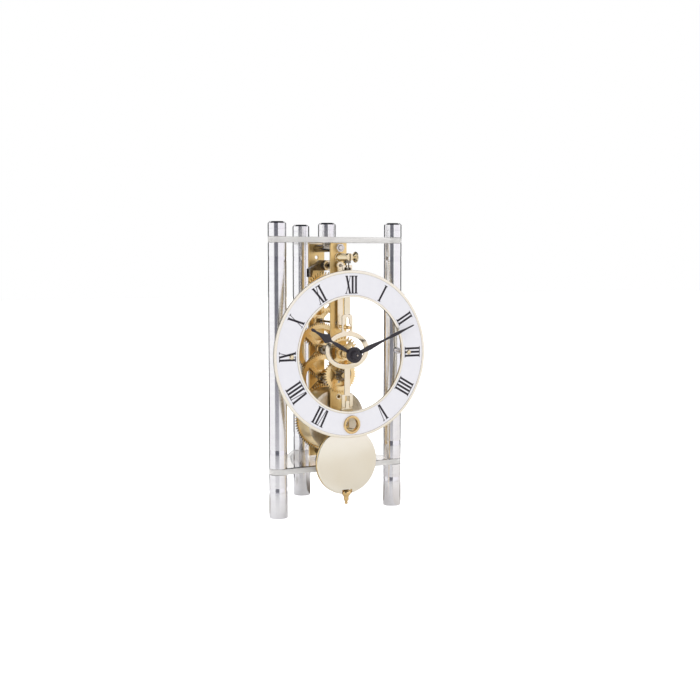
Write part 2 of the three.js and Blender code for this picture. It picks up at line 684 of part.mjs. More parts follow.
// Mainspring barrel: drum closed at the back by the great wheel
function makeBarrel() {
  const bore = WINDING_RADIUS + FIT;
  const greatOutline = wheelOutline(GREAT_TEETH, GREAT_MODULE, UP);
  const great = flat(greatOutline, [circle(bore)], greatZ, greatZ + GREAT_THICKNESS);
  place('great_wheel', great.translate([0, barrelY, 0]), brass);
  const drumFront = drumZ + DRUM_LENGTH - SEAT;
  place('barrel_drum', onAxis([
    [DRUM_RADIUS - DRUM_WALL, drumZ],
    [DRUM_RADIUS, drumZ],
    [DRUM_RADIUS, drumFront],
    [bore, drumFront],
    [bore, drumFront - DRUM_WALL],
    [DRUM_RADIUS - DRUM_WALL, drumFront - DRUM_WALL],
    [DRUM_RADIUS - DRUM_WALL, drumZ],
  ], 0, barrelY, BOB_SIDES), brass);
  const innerFrom = drumZ + MAINSPRING_MARGIN;
  const innerTo = drumFront - DRUM_WALL - MAINSPRING_MARGIN;
  place('mainspring', mainspring(innerFrom, innerTo), steel);
  place('winding_arbor', windingArbor(innerFrom, innerTo), steel);
}

// A flat spiral ribbon from the winding hub out to the drum wall
function mainspring(from, to) {
  const inner = WINDING_HUB_RADIUS + RUNNING + MAINSPRING_THICKNESS / 2;
  const outer = DRUM_RADIUS - DRUM_WALL - RUNNING - MAINSPRING_THICKNESS / 2;
  const count = MAINSPRING_TURNS * MAINSPRING_STEPS;
  const edge = (offset) => Array.from({ length: count + 1 }, (_, i) => {
    const radius = inner + ((outer - inner) * i) / count + offset;
    return polar(radius, (i * 2 * Math.PI) / MAINSPRING_STEPS);
  });
  const outline = [...edge(MAINSPRING_THICKNESS / 2), ...edge(-MAINSPRING_THICKNESS / 2).reverse()];
  return flat(outline, [], from, to).translate([0, barrelY, 0]);
}

function windingArbor(hubFrom, hubTo) {
  const rear = backOuter - RUNNING - RATCHET_THICKNESS - RUNNING;
  const shaft = onAxis([
    [0, rear],
    [WINDING_RADIUS, rear],
    [WINDING_RADIUS, hubFrom],
    [WINDING_HUB_RADIUS, hubFrom],
    [WINDING_HUB_RADIUS, hubTo],
    [WINDING_RADIUS, hubTo],
    [WINDING_RADIUS, frontFace + RUNNING],
    [0, frontFace + RUNNING],
  ], 0, barrelY, SMALL_SIDES);
  const half = WINDING_SQUARE / 2;
  const squareTo = frontFace + WINDING_SQUARE_LENGTH;
  const square = box(-half, half, barrelY - half, barrelY + half, frontInner, squareTo);
  return join(shaft, square);
}

// Ratchet and click on the outside of the back plate
function makeWindingWork() {
  const to = backOuter - RUNNING;
  const from = to - RATCHET_THICKNESS;
  const step = (2 * Math.PI) / RATCHET_TEETH;
  const teeth = Array.from({ length: RATCHET_TEETH }, (_, i) => i * step).flatMap((angle) => [
    polar(RATCHET_RADIUS, angle),
    polar(RATCHET_RADIUS - RATCHET_TOOTH, angle + step / 8),
  ]);
  const ratchet = flat(teeth, [circle(WINDING_RADIUS + FIT, 0, 0, SMALL_SIDES)], from, to);
  place('ratchet_wheel', ratchet.translate([0, barrelY, 0]), steel);
  const pivotY = barrelY + CLICK_REACH;
  const half = CLICK_WIDTH / 2;
  const tipY = barrelY + RATCHET_RADIUS + RUNNING;
  const lever = flat([
    new THREE.Vector2(-half, tipY + CLICK_WIDTH),
    new THREE.Vector2(0, tipY),
    new THREE.Vector2(half, tipY + CLICK_WIDTH),
    new THREE.Vector2(half, pivotY),
    new THREE.Vector2(-half, pivotY),
  ], [], from, to);
  const eye = onAxis(rod(CLICK_EYE_RADIUS, from, to), 0, pivotY, SMALL_SIDES);
  const bore = onAxis(rod(CLICK_STUD_RADIUS + FIT, from - FIT, to + FIT), 0, pivotY, HOLE_SIDES);
  place('click', cut(join(lever, eye), bore), steel);
  place('click_stud', onAxis([
    [0, from - SEAT - RUNNING - CLICK_STUD_HEAD],
    [CLICK_STUD_HEAD_RADIUS, from - SEAT - RUNNING - CLICK_STUD_HEAD],
    [CLICK_STUD_HEAD_RADIUS, from - RUNNING],
    [CLICK_STUD_RADIUS, from - RUNNING],
    [CLICK_STUD_RADIUS, backInner],
    [0, backInner],
  ], 0, pivotY, HOLE_SIDES), steel);
}

// Escape wheel with raked teeth
function makeEscapeWheel() {
  const step = (2 * Math.PI) / ESCAPE_TEETH;
  const root = ESCAPE_RADIUS - ESCAPE_TOOTH;
  const teeth = Array.from({ length: ESCAPE_TEETH }, (_, i) => i * step).flatMap((angle) => [
    polar(root, angle),
    polar(ESCAPE_RADIUS, angle + step / 8),
    polar(root, angle + step / 2),
  ]);
  const spaces = crossings(ESCAPE_HUB_RADIUS, root - ESCAPE_RIM, ESCAPE_SPOKE_WIDTH);
  const holes = [circle(ARBOR_RADIUS + FIT), ...spaces];
  const wheel = flat(teeth, holes, escapeZ, escapeZ + ESCAPE_THICKNESS);
  place('escape_wheel', wheel.translate([0, escapeY, 0]), brass);
}

// Anchor: sloping arms from the hub to a pallet on each side of the escape wheel
function anchorOutline() {
  const reach = ESCAPE_RADIUS + PALLET_GAP;
  const lean = THREE.MathUtils.degToRad(PALLET_ANGLE);
  const tip = new THREE.Vector2(reach * Math.sin(lean), reach * Math.cos(lean) - palletCentres);
  const knee = new THREE.Vector2(tip.x, tip.y + PALLET_LENGTH);
  const ridge = ANCHOR_HUB_RADIUS;
  const right = [
    tip,
    new THREE.Vector2(tip.x + ANCHOR_STRIP, tip.y),
    new THREE.Vector2(knee.x + ANCHOR_STRIP, knee.y + ANCHOR_STRIP / 2),
    new THREE.Vector2(ridge, ridge),
  ];
  const inner = new THREE.Vector2(knee.x - PALLET_BACK, -ridge);
  const mirror = (point) => new THREE.Vector2(-point.x, point.y);
  return [...right, ...right.map(mirror).reverse(), mirror(inner), inner];
}

function makePallets() {
  const from = escapeZ + ESCAPE_THICKNESS / 2 - ANCHOR_WIDTH / 2;
  const to = from + ANCHOR_WIDTH;
  const strip = flat(anchorOutline(), [], from, to).translate([0, palletY, 0]);
  const hub = onAxis(rod(ANCHOR_HUB_RADIUS, from, to), 0, palletY, SMALL_SIDES);
  const collarTo = to + ANCHOR_COLLAR;
  const collar = onAxis(rod(ANCHOR_COLLAR_RADIUS, from, collarTo), 0, palletY, SMALL_SIDES);
  const bore = onAxis(rod(ARBOR_RADIUS + FIT, from - FIT, collarTo + FIT), 0, palletY, HOLE_SIDES);
  place('anchor', cut(join(strip, hub, collar), bore), steel);
  const crutchZ = frontFace + CRUTCH_STANDOUT;
  const colletFrom = crutchZ - (CRUTCH_COLLET_LENGTH - CRUTCH_THICKNESS) / 2;
  const colletTo = colletFrom + CRUTCH_COLLET_LENGTH;
  const arborTo = colletTo + RUNNING;
  place('pallet_arbor', onAxis(rod(ARBOR_RADIUS, backOuter, arborTo), 0, palletY, HOLE_SIDES), steel);
  place('crutch', crutch(crutchZ, colletFrom, colletTo), brass);
}

// Crutch strip hanging from the pallet arbor, with the pin that steers the pendulum
function crutch(from, colletFrom, colletTo) {
  const to = from + CRUTCH_THICKNESS;
  const half = CRUTCH_WIDTH / 2;
  const pinY = palletY - CRUTCH_LENGTH;
  const strip = flat(rectangle(-half, pinY, half, palletY), [], from, to);
  const foot = onAxis(rod(half, from, to), 0, pinY, SMALL_SIDES);
  const collet = onAxis(rod(CRUTCH_COLLET_RADIUS, colletFrom, colletTo), 0, palletY, SMALL_SIDES);
  const pinEnd = pendulumZ + LEADER_THICKNESS / 2 + CRUTCH_PIN_STANDOUT;
  const pin = onAxis(rod(CRUTCH_PIN_RADIUS, from, pinEnd), 0, pinY, HOLE_SIDES);
  const bore = onAxis(rod(ARBOR_RADIUS + FIT, colletFrom - FIT, colletTo + FIT), 0, palletY, HOLE_SIDES);
  return cut(join(strip, foot, collet, pin), bore);
}

// Motion work in front of the front plate: cannon pinion, minute wheel and hour wheel
function makeMotionWork() {
  const cannonFrom = frontFace + CANNON_STANDOUT;
  const cannonTeeth = flat(pinionOutline(CANNON_LEAVES, minuteModule, DOWN), [],
    cannonFrom, cannonFrom + CANNON_TEETH_LENGTH).translate([0, centreY, 0]);
  const cannonEnd = minuteHandZ + HAND_HUB_THICKNESS - FIT;
  const cannonPipe = onAxis(rod(CANNON_RADIUS, cannonFrom, cannonEnd), 0, centreY, SMALL_SIDES);
  const cannonHole = rod(CENTRE_ARBOR_RADIUS + FIT, cannonFrom - FIT, cannonEnd + FIT);
  const cannonBore = onAxis(cannonHole, 0, centreY, SMALL_SIDES);
  place('cannon_pinion', cut(join(cannonTeeth, cannonPipe), cannonBore), brass);

  const wheelFrom = frontFace + MINUTE_WHEEL_STANDOUT;
  const wheelTo = wheelFrom + MOTION_THICKNESS;
  const rim = pitch(MINUTE_WHEEL_TEETH, minuteModule) - WHEEL_DEDENDUM * minuteModule - WHEEL_RIM;
  const minuteWheel = flat(wheelOutline(MINUTE_WHEEL_TEETH, minuteModule, UP),
    crossings(WHEEL_HUB_RADIUS, rim, SPOKE_WIDTH), wheelFrom, wheelTo);
  const pinionTo = wheelTo + MINUTE_PINION_LENGTH;
  const minutePinion = flat(pinionOutline(MINUTE_LEAVES, hourModule, UP), [], wheelFrom, pinionTo);
  const bore = onAxis(rod(MINUTE_STUD_RADIUS + FIT, wheelFrom - FIT, pinionTo + FIT), 0, 0, HOLE_SIDES);
  const minute = cut(join(minuteWheel, minutePinion), bore);
  place('minute_wheel', minute.translate([0, minuteWheelY, 0]), brass);

  const headFrom = pinionTo + FIT;
  place('minute_wheel_stud', onAxis([
    [0, frontInner],
    [MINUTE_STUD_RADIUS, frontInner],
    [MINUTE_STUD_RADIUS, headFrom],
    [MINUTE_STUD_HEAD_RADIUS, headFrom],
    [MINUTE_STUD_HEAD_RADIUS, headFrom + MINUTE_STUD_HEAD],
    [0, headFrom + MINUTE_STUD_HEAD],
  ], 0, minuteWheelY, HOLE_SIDES), steel);

  const hourFrom = frontFace + HOUR_WHEEL_STANDOUT;
  const hourTo = hourFrom + MOTION_THICKNESS;
  const hourRim = pitch(HOUR_TEETH, hourModule) - WHEEL_DEDENDUM * hourModule - HOUR_WHEEL_RIM;
  const hourWheel = flat(wheelOutline(HOUR_TEETH, hourModule, DOWN),
    crossings(HOUR_BOSS_RADIUS + HOUR_WHEEL_RIM / 2, hourRim, SPOKE_WIDTH), hourFrom, hourTo);
  const pipe = onAxis([
    [0, hourFrom],
    [HOUR_BOSS_RADIUS, hourFrom],
    [HOUR_BOSS_RADIUS, hourTo + HOUR_BOSS_LENGTH],
    [HOUR_PIPE_RADIUS, hourTo + HOUR_BOSS_LENGTH],
    [HOUR_PIPE_RADIUS, hourHandZ + HAND_HUB_THICKNESS],
    [0, hourHandZ + HAND_HUB_THICKNESS],
  ], 0, 0, SMALL_SIDES);
  const pipeBore = onAxis(rod(CANNON_RADIUS + FIT, hourFrom - FIT, minuteHandZ), 0, 0, SMALL_SIDES);
  place('hour_wheel', cut(join(hourWheel, pipe), pipeBore).translate([0, centreY, 0]), brass);
}

// A hand pointing straight up, from [half width, distance] pairs along one side, turned to its hour
function hand(side, hubRadius, bore, from, angle) {
  const half = side.map(([width, along]) => new THREE.Vector2(width, along));
  const curve = new THREE.SplineCurve(half).getPoints(3 * side.length);
  const other = curve.map((p) => new THREE.Vector2(-p.x, p.y)).reverse();
  const bladeTo = from + HAND_HUB_THICKNESS;
  const blade = flat([...curve, ...other], [], bladeTo - HAND_THICKNESS, bladeTo);
  const hub = onAxis(rod(hubRadius, from, from + HAND_HUB_THICKNESS), 0, 0, POST_SIDES);
  const hole = onAxis(rod(bore + FIT, from - FIT, from + 2 * HAND_HUB_THICKNESS), 0, 0, SMALL_SIDES);
  return cut(join(blade, hub), hole).rotate([0, 0, -angle]).translate([0, centreY, 0]);
}

function makeHands() {
  place('hour_hand', hand([
    [HAND_NECK, HOUR_PIPE_RADIUS + RUNNING],
    [HOUR_LEAF, HOUR_LEAF_AT],
    [HAND_NECK, HOUR_NECK_AT],
    [HOUR_BELLY, HOUR_BELLY_AT],
    [HAND_NECK, (HOUR_BELLY_AT + HOUR_HAND_LENGTH) / 2],
    [HAND_TIP, HOUR_HAND_LENGTH],
  ], HOUR_HUB_RADIUS, HOUR_PIPE_RADIUS, hourHandZ, HOUR_HAND_ANGLE), black);
  place('minute_hand', hand([
    [HAND_NECK, CANNON_RADIUS + RUNNING],
    [MINUTE_LEAF, MINUTE_LEAF_AT],
    [HAND_NECK, MINUTE_WAIST_AT],
    [MINUTE_SWELL, MINUTE_SWELL_AT],
    [HAND_TIP, MINUTE_HAND_LENGTH],
  ], MINUTE_HUB_RADIUS, CANNON_RADIUS, minuteHandZ, MINUTE_HAND_ANGLE), black);
  place('hand_nut', onAxis([
    [CENTRE_ARBOR_RADIUS + FIT, handNutZ],
    [HAND_NUT_RADIUS, handNutZ],
    [HAND_NUT_RADIUS, handEnd - CENTRE_ARBOR_RADIUS],
    [HAND_NUT_RADIUS - CENTRE_ARBOR_RADIUS, handEnd],
    [CENTRE_ARBOR_RADIUS + FIT, handEnd],
    [CENTRE_ARBOR_RADIUS + FIT, handNutZ],
  ], 0, centreY, POST_SIDES), black);
}

// Dial: brass carrier ring with raised rims, white chapter ring sunk between them
function makeDial() {
  const chapterInner = dialHole + DIAL_INNER_RIM;
  const chapterOuter = DIAL_RADIUS - DIAL_OUTER_RIM;
  const floor = chapterFront - CHAPTER_THICKNESS - SEAT;
  const ring = onAxis([
    [dialHole, dialBack],
    [DIAL_RADIUS, dialBack],
    [DIAL_RADIUS, dialFront],
    [chapterOuter, dialFront],
    [chapterOuter, floor],
    [chapterInner, floor],
    [chapterInner, dialFront],
    [dialHole, dialFront],
    [dialHole, dialBack],
  ], 0, centreY, DIAL_SIDES);
  const printed = tube(chapterInner + FIT, chapterOuter - FIT, floor + SEAT, chapterFront);
  const chapter = onAxis(printed, 0, centreY, DIAL_SIDES);
  const through = (radius, x, y) =>
    onAxis(rod(radius + FIT, dialBack - FIT, dialFront + FIT), x, y, SMALL_SIDES);
  const holes = [
    through(EYELET_BORE + EYELET_WALL, 0, barrelY),
    through(DIAL_SCREW_RADIUS, -postX, centreY),
    through(DIAL_SCREW_RADIUS, postX, centreY),
  ];
  place('dial_ring', cut(ring, ...holes), brass);
  place('chapter_ring', cut(chapter, ...holes), white);
  const flangeFrom = chapterFront + SEAT;
  place('winding_eyelet', onAxis([
    [EYELET_BORE, dialBack - EYELET_TAIL],
    [EYELET_BORE + EYELET_WALL, dialBack - EYELET_TAIL],
    [EYELET_BORE + EYELET_WALL, flangeFrom],
    [EYELET_RADIUS, flangeFrom],
    [EYELET_RADIUS, flangeFrom + EYELET_FLANGE / 2],
    [(EYELET_RADIUS + EYELET_BORE) / 2, flangeFrom + EYELET_FLANGE],
    [EYELET_BORE, flangeFrom + EYELET_FLANGE / 2],
    [EYELET_BORE, dialBack - EYELET_TAIL],
  ], 0, barrelY, POST_SIDES), brass);
  makeDialPost('left', -postX);
  makeDialPost('right', postX);
}

// Standoff from a front post to the dial, with its screw
function makeDialPost(side, x) {
  const from = postRadius - STANDOFF_SOCKET;
  const to = dialBack - SEAT;
  const body = onAxis(rod(STANDOFF_RADIUS, from, to), x, centreY, SMALL_SIDES);
  const screwHole = rod(DIAL_SCREW_RADIUS + FIT, to - DIAL_SCREW_GRIP - FIT, to + FIT);
  const tapped = onAxis(screwHole, x, centreY, HOLE_SIDES);
  place(`dial_standoff_${side}`, cut(body, tapped), polished);
  const seat = chapterFront + SEAT;
  place(`dial_screw_${side}`, onAxis([
    [0, to - DIAL_SCREW_GRIP],
    [DIAL_SCREW_RADIUS, to - DIAL_SCREW_GRIP],
    [DIAL_SCREW_RADIUS, seat],
    [DIAL_SCREW_HEAD_RADIUS, seat],
    [DIAL_SCREW_HEAD_RADIUS, seat + DIAL_SCREW_HEAD / 2],
    [DIAL_SCREW_HEAD_RADIUS / 2, seat + DIAL_SCREW_HEAD],
    [0, seat + DIAL_SCREW_HEAD],
  ], x, centreY, HOLE_SIDES), brass);
}

// Suspension: a post in the front plate, slotted for the spring's top chops, and its thumb screw
const chopsFrom = pendulumZ - CHOPS_LENGTH / 2;
const chopsTo = pendulumZ + CHOPS_LENGTH / 2;
const leafTop = palletY + LEAF_FREE / 2;
const leafBottom = palletY - LEAF_FREE / 2;

function makeSuspension() {
  const postEnd = chopsTo + FIT + STUD_NOSE;
  const post = onAxis([
    [0, frontInner],
    [PILLAR_END_RADIUS, frontInner],
    [PILLAR_END_RADIUS, frontFace + SEAT],
    [STUD_FLANGE_RADIUS, frontFace + SEAT],
    [STUD_FLANGE_RADIUS, frontFace + SEAT + STUD_FLANGE],
    [STUD_RADIUS, frontFace + SEAT + STUD_FLANGE],
    [STUD_RADIUS, postEnd],
    [0, postEnd],
  ], 0, studY, SMALL_SIDES);
  const slot = TOP_CHOPS_WIDTH / 2 + FIT;
  const chopsTop = leafTop + TOP_CHOPS_HEIGHT;
  const under = studY - 2 * STUD_RADIUS;
  const recess = box(-slot, slot, under, chopsTop + FIT, chopsFrom - FIT, chopsTo + FIT);
  const slit = box(-STUD_SLIT / 2, STUD_SLIT / 2, under, studY + 2 * STUD_RADIUS,
    postEnd - STUD_SLIT_DEPTH, postEnd + FIT);
  const tapped = rod(KNOB_SCREW_RADIUS + FIT, -KNOB_SCREW_REACH - FIT, 2 * STUD_RADIUS);
  place('suspension_post', cut(post, recess, slit, across(tapped, studY, pendulumZ, HOLE_SIDES)), brass);

  const half = TOP_CHOPS_WIDTH / 2;
  const chops = box(-half, half, leafTop, chopsTop, chopsFrom, chopsTo);
  const thin = LEAF_THICKNESS / 2;
  const leaf = (z) => box(-thin, thin, leafBottom - LEAF_GRIP, leafTop + LEAF_GRIP,
    z - LEAF_WIDTH / 2, z + LEAF_WIDTH / 2);
  const leaves = [-1, 1].map((side) => leaf(pendulumZ + (side * LEAF_SPACING) / 2));
  place('suspension_spring', join(chops, ...leaves), steel);

  const neck = STUD_RADIUS + RUNNING;
  const waist = neck + KNOB_NECK_LENGTH;
  const rim = waist + KNOB_FLARE;
  place('suspension_knob', across([
    [0, -KNOB_SCREW_REACH],
    [KNOB_SCREW_RADIUS, -KNOB_SCREW_REACH],
    [KNOB_SCREW_RADIUS, neck],
    [KNOB_NECK_RADIUS, neck],
    [KNOB_WAIST_RADIUS, waist],
    [KNOB_RADIUS, rim],
    [KNOB_RADIUS, rim + KNOB_RIM],
    [KNOB_RADIUS - KNOB_CROWN, rim + KNOB_RIM + KNOB_CROWN],
    [0, rim + KNOB_RIM + KNOB_CROWN],
  ], studY, pendulumZ, POST_SIDES), brass);
}

// Lower chops, which the leaves enter with room to bend
function makeChops() {
  const half = CHOPS_WIDTH / 2;
  const block = box(-half, half, leafBottom - CHOPS_HEIGHT, leafBottom, chopsFrom, chopsTo);
  const slots = [-1, 1].map((side) => {
    const z = pendulumZ + (side * LEAF_SPACING) / 2;
    const room = LEAF_THICKNESS / 2 + FIT;
    const reach = LEAF_WIDTH / 2 + FIT;
    return box(-room, room, leafBottom - LEAF_GRIP - FIT, leafBottom + FIT, z - reach, z + reach);
  });
  place('suspension_chops', cut(block, ...slots), brass);
}

// Pendulum leader: head on the chops, keyhole for the crutch pin, oval ring round the hands, fork below
function makeLeader() {
  const from = pendulumZ - LEADER_THICKNESS / 2;
  const to = pendulumZ + LEADER_THICKNESS / 2;
  const chopsBottom = leafBottom - CHOPS_HEIGHT;
  const headTop = leafBottom + FIT + LEADER_BAR;
  const headBottom = chopsBottom - FIT - LEADER_BAR;
  const window = CHOPS_WIDTH / 2 + FIT;
  const keyY = palletY - CRUTCH_LENGTH;
  const ringY = palletY - RING_DROP;
  const forkTop = palletY - FORK_DROP;
  const forkBottom = forkTop - FORK_HEIGHT;
  const slot = ROD_NECK / 2 + RUNNING;
  const strip = (width, bottom, top) => flat(rectangle(-width / 2, bottom, width / 2, top), [], from, to);
  const plateHalf = KEYHOLE_PLATE_WIDTH / 2;
  const plateTop = keyY + KEYHOLE_PLATE_RISE;
  const cornerX = plateHalf - KEYHOLE_CORNER;
  const cornerY = plateTop - KEYHOLE_CORNER;
  const plate = [
    new THREE.Vector2(-plateHalf, ringY + RING_HALF_HEIGHT - RING_BAR / 2),
    new THREE.Vector2(plateHalf, ringY + RING_HALF_HEIGHT - RING_BAR / 2),
    ...arc(KEYHOLE_CORNER, 0, Math.PI / 2, 3, cornerX, cornerY),
    ...arc(KEYHOLE_CORNER, Math.PI / 2, Math.PI, 3, -cornerX, cornerY),
  ];
  const oval = (a, b) => Array.from({ length: BOB_SIDES }, (_, i) => {
    const angle = (i * 2 * Math.PI) / BOB_SIDES;
    return new THREE.Vector2(a * Math.cos(angle), ringY + b * Math.sin(angle));
  });
  const ringHole = oval(RING_HALF_WIDTH - RING_BAR, RING_HALF_HEIGHT - RING_BAR);
  const body = join(
    strip(LEADER_HEAD_WIDTH, headBottom, headTop),
    strip(LEADER_STRIP, keyY, headBottom + FIT),
    flat(plate, [], from, to),
    flat(oval(RING_HALF_WIDTH, RING_HALF_HEIGHT), [ringHole], from, to),
    strip(LEADER_STRIP, forkTop - RING_BAR / 2, ringY - RING_HALF_HEIGHT + RING_BAR / 2),
    strip(FORK_WIDTH, forkBottom, forkTop),
  );
  const through = (left, bottom, right, top) => box(left, right, bottom, top, from - FIT, to + FIT);
  const pinHalf = ROD_PIN_LENGTH / 2 + FIT;
  const pinY = palletY - ROD_TOP_DROP - ROD_PIN_DROP;
  const pinHole = across(rod(ROD_PIN_RADIUS + FIT, -pinHalf, pinHalf), pinY, pendulumZ, HOLE_SIDES);
  const hole = (radius, y) => onAxis(rod(radius, from - FIT, to + FIT), 0, y, SMALL_SIDES);
  place('pendulum_leader', cut(body,
    through(-window, chopsBottom - FIT, window, leafBottom + FIT),
    through(-KEYHOLE_SLOT / 2, keyY, KEYHOLE_SLOT / 2, keyY + KEYHOLE_SLOT_RISE - KEYHOLE_SLOT / 2),
    hole(KEYHOLE_SLOT / 2, keyY + KEYHOLE_SLOT_RISE - KEYHOLE_SLOT / 2),
    hole(KEYHOLE_RADIUS, keyY),
    through(-slot, forkBottom - FIT, slot, forkBottom + FORK_SLOT_RISE),
    pinHole), brass);
}

// Bob rod: a neck pinned in the fork, shoulders below it, then a strip set back and threaded for the nut
const nutTop = NUT_CLEAR_OF_TABLE + RATING_NUT_HEIGHT;

function makeRod() {
  const to = pendulumZ + LEADER_THICKNESS / 2;
  const rodFrom = rodZ - LEADER_THICKNESS / 2;
  const rodTo = rodZ + LEADER_THICKNESS / 2;
  const top = palletY - ROD_TOP_DROP;
  const shoulderTop = palletY - FORK_DROP - FORK_HEIGHT - RUNNING;
  const shoulderBottom = shoulderTop - ROD_SHOULDER;
  const neckHalf = ROD_NECK / 2;
  const neck = box(-neckHalf, neckHalf, shoulderBottom, top, to - LEADER_THICKNESS, to);
  const shoulder = box(-FORK_WIDTH / 2, FORK_WIDTH / 2, shoulderBottom, shoulderTop, rodFrom, to);
  const strip = box(-ROD_WIDTH / 2, ROD_WIDTH / 2, bobY, shoulderTop, rodFrom, rodTo);
  const screwEnd = nutTop - RATING_NUT_BORE_DEPTH + RATING_TRAVEL + FIT;
  const screw = upright(rod(ROD_SCREW_RADIUS, screwEnd, bobY + ROD_WIDTH), 0, rodZ, HOLE_SIDES);
  const pinHalf = ROD_PIN_LENGTH / 2;
  const pin = across(rod(ROD_PIN_RADIUS, -pinHalf, pinHalf), top - ROD_PIN_DROP, pendulumZ, HOLE_SIDES);
  place('bob_rod', join(neck, shoulder, strip, screw, pin), brass);
}

// Bob: a domed disc with a channel for the rod and a notch for the rating nut
function makeBob() {
  const half = BOB_EDGE / 2;
  const round = BOB_EDGE / 5;
  const dome = [1, 0.6, 0].map((share) => [
    (BOB_RADIUS - round) * share,
    half + BOB_CROWN * (1 - share * share),
  ]);
  const disc = onAxis([
    [0, -half],
    [BOB_RADIUS - round, -half],
    [BOB_RADIUS, -half + round],
    [BOB_RADIUS, half - round],
    ...dome,
  ], 0, 0, BOB_SIDES).translate([0, bobY, rodZ]);
  const wide = ROD_WIDTH / 2 + RUNNING;
  const deep = ROD_SCREW_RADIUS + RUNNING;
  const below = bobY - 2 * BOB_RADIUS;
  const channel = box(-wide, wide, below, bobY + 2 * BOB_RADIUS, rodZ - deep, rodZ + deep);
  const notchHalf = RATING_NUT_RADIUS + RUNNING;
  const notch = box(-notchHalf, notchHalf, below, bobRest, rodZ - BOB_EDGE, rodZ + BOB_EDGE);
  place('bob', cut(disc, channel, notch), brass);
}

// Rating nut with a domed head, waist and ball end
function makeRatingNut() {
  const base = NUT_CLEAR_OF_TABLE;
  const widest = nutTop - RATING_NUT_HEIGHT * 0.24;
  const ball = (angle) => {
    const [out, up] = [Math.cos(angle), 1 + Math.sin(angle)];
    return [RATING_NUT_BALL * out, base + RATING_NUT_BALL * up];
  };
  const nut = upright([
    [0, base],
    ball(-Math.PI / 4),
    ball(0),
    ball(Math.PI / 4),
    [RATING_NUT_NECK, base + 2.6 * RATING_NUT_BALL],
    [RATING_NUT_NECK, nutTop - RATING_NUT_HEIGHT * 0.6],
    [RATING_NUT_RADIUS, widest],
    [RATING_NUT_RADIUS * 0.85, nutTop - RATING_NUT_HEIGHT * 0.08],
    [RATING_NUT_RADIUS * 0.6, nutTop],
    [0, nutTop],
  ], 0, rodZ, POST_SIDES);
  const tapped = rod(ROD_SCREW_RADIUS + FIT, nutTop - RATING_NUT_BORE_DEPTH, nutTop + FIT);
  const bore = upright(tapped, 0, rodZ, HOLE_SIDES);
  place('rating_nut', cut(nut, bore), brass);
}

makeShelves();
makePosts();
makeShelfScrews();
makePlates();
makePillars();
makeBarrel();
makeWindingWork();
makeTrain();
makeEscapeWheel();
makePallets();
makeMotionWork();
makeDial();
makeHands();
makeSuspension();
makeChops();
makeLeader();
makeRod();
makeBob();
makeRatingNut();

// Stand the clock up with its footprint's middle at the origin
const rearmost = POST_REACH + postRadius;
const object = new THREE.Group();
clock.rotation.x = Math.PI / 2;
clock.position.y = (arborEnd - rearmost) / 2;
object.add(clock);

export default object;
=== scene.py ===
import json
import math
import bmesh
import bpy
from mathutils import Matrix, Vector


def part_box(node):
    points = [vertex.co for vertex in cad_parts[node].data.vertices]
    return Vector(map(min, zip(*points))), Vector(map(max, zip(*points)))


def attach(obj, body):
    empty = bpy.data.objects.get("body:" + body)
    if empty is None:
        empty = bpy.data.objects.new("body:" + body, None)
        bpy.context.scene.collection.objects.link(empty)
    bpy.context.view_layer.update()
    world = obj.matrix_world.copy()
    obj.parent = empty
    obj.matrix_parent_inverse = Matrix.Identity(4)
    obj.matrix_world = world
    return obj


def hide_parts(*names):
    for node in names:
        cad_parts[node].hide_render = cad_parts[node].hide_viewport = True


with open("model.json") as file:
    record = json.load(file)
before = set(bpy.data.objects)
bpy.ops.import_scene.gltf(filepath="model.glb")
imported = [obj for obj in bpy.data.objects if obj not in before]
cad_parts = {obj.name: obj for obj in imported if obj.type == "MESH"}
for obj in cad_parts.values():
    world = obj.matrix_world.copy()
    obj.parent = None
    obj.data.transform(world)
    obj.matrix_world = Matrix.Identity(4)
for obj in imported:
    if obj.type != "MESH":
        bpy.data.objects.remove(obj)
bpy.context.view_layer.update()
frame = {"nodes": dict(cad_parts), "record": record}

MM = 0.001
scene = bpy.context.scene
behaviour = frame["record"]["behaviour"]
body_of_node = {node: body for body, nodes in behaviour["bodies"].items() for node in nodes}
POSTS = ("left", "right", "rear")
DIAL_SIDES = ("left", "right")


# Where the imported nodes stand, in millimetres

def span(node, axis):
    low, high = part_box(node)
    return low["xyz".index(axis)] / MM, high["xyz".index(axis)] / MM


def middle(node, axis):
    return sum(span(node, axis)) / 2


def width(node, axis="x"):
    low, high = span(node, axis)
    return high - low


# Depths are measured forwards from the axis of the front posts
POST_LINE = middle("column_left", "y")


def front(node):
    return POST_LINE - span(node, "y")[0]


def back(node):
    return POST_LINE - span(node, "y")[1]


def top(node):
    return span(node, "z")[1]


def bottom(node):
    return span(node, "z")[0]


DIAL_CENTRE = (0.0, middle("hand_nut", "z"))
BARREL_CENTRE = (0.0, middle("winding_eyelet", "z"))
PALLET_CENTRE = (0.0, middle("pallet_arbor", "z"))
POST_RADIUS = width("column_left") / 2


# Finishes

GRAIN_DETAIL = 4.0
GRAIN_ROUGHNESS = 0.6
DEEP_BELOW = 0.3
PALE_ABOVE = 0.7


def to_linear(colour):
    def channel(value):
        return value / 12.92 if value <= 0.04045 else ((value + 0.055) / 1.055) ** 2.4
    return tuple(channel(int(colour[i:i + 2], 16) / 255) for i in (1, 3, 5)) + (1.0,)


def add(tree, kind, settings=(), links=()):
    node = tree.nodes.new(kind)
    for name, value in dict(settings).items():
        if hasattr(node, name):
            setattr(node, name, value)
        else:
            node.inputs[name].default_value = value
    for name, socket in dict(links).items():
        tree.links.new(socket, node.inputs[name])
    return node


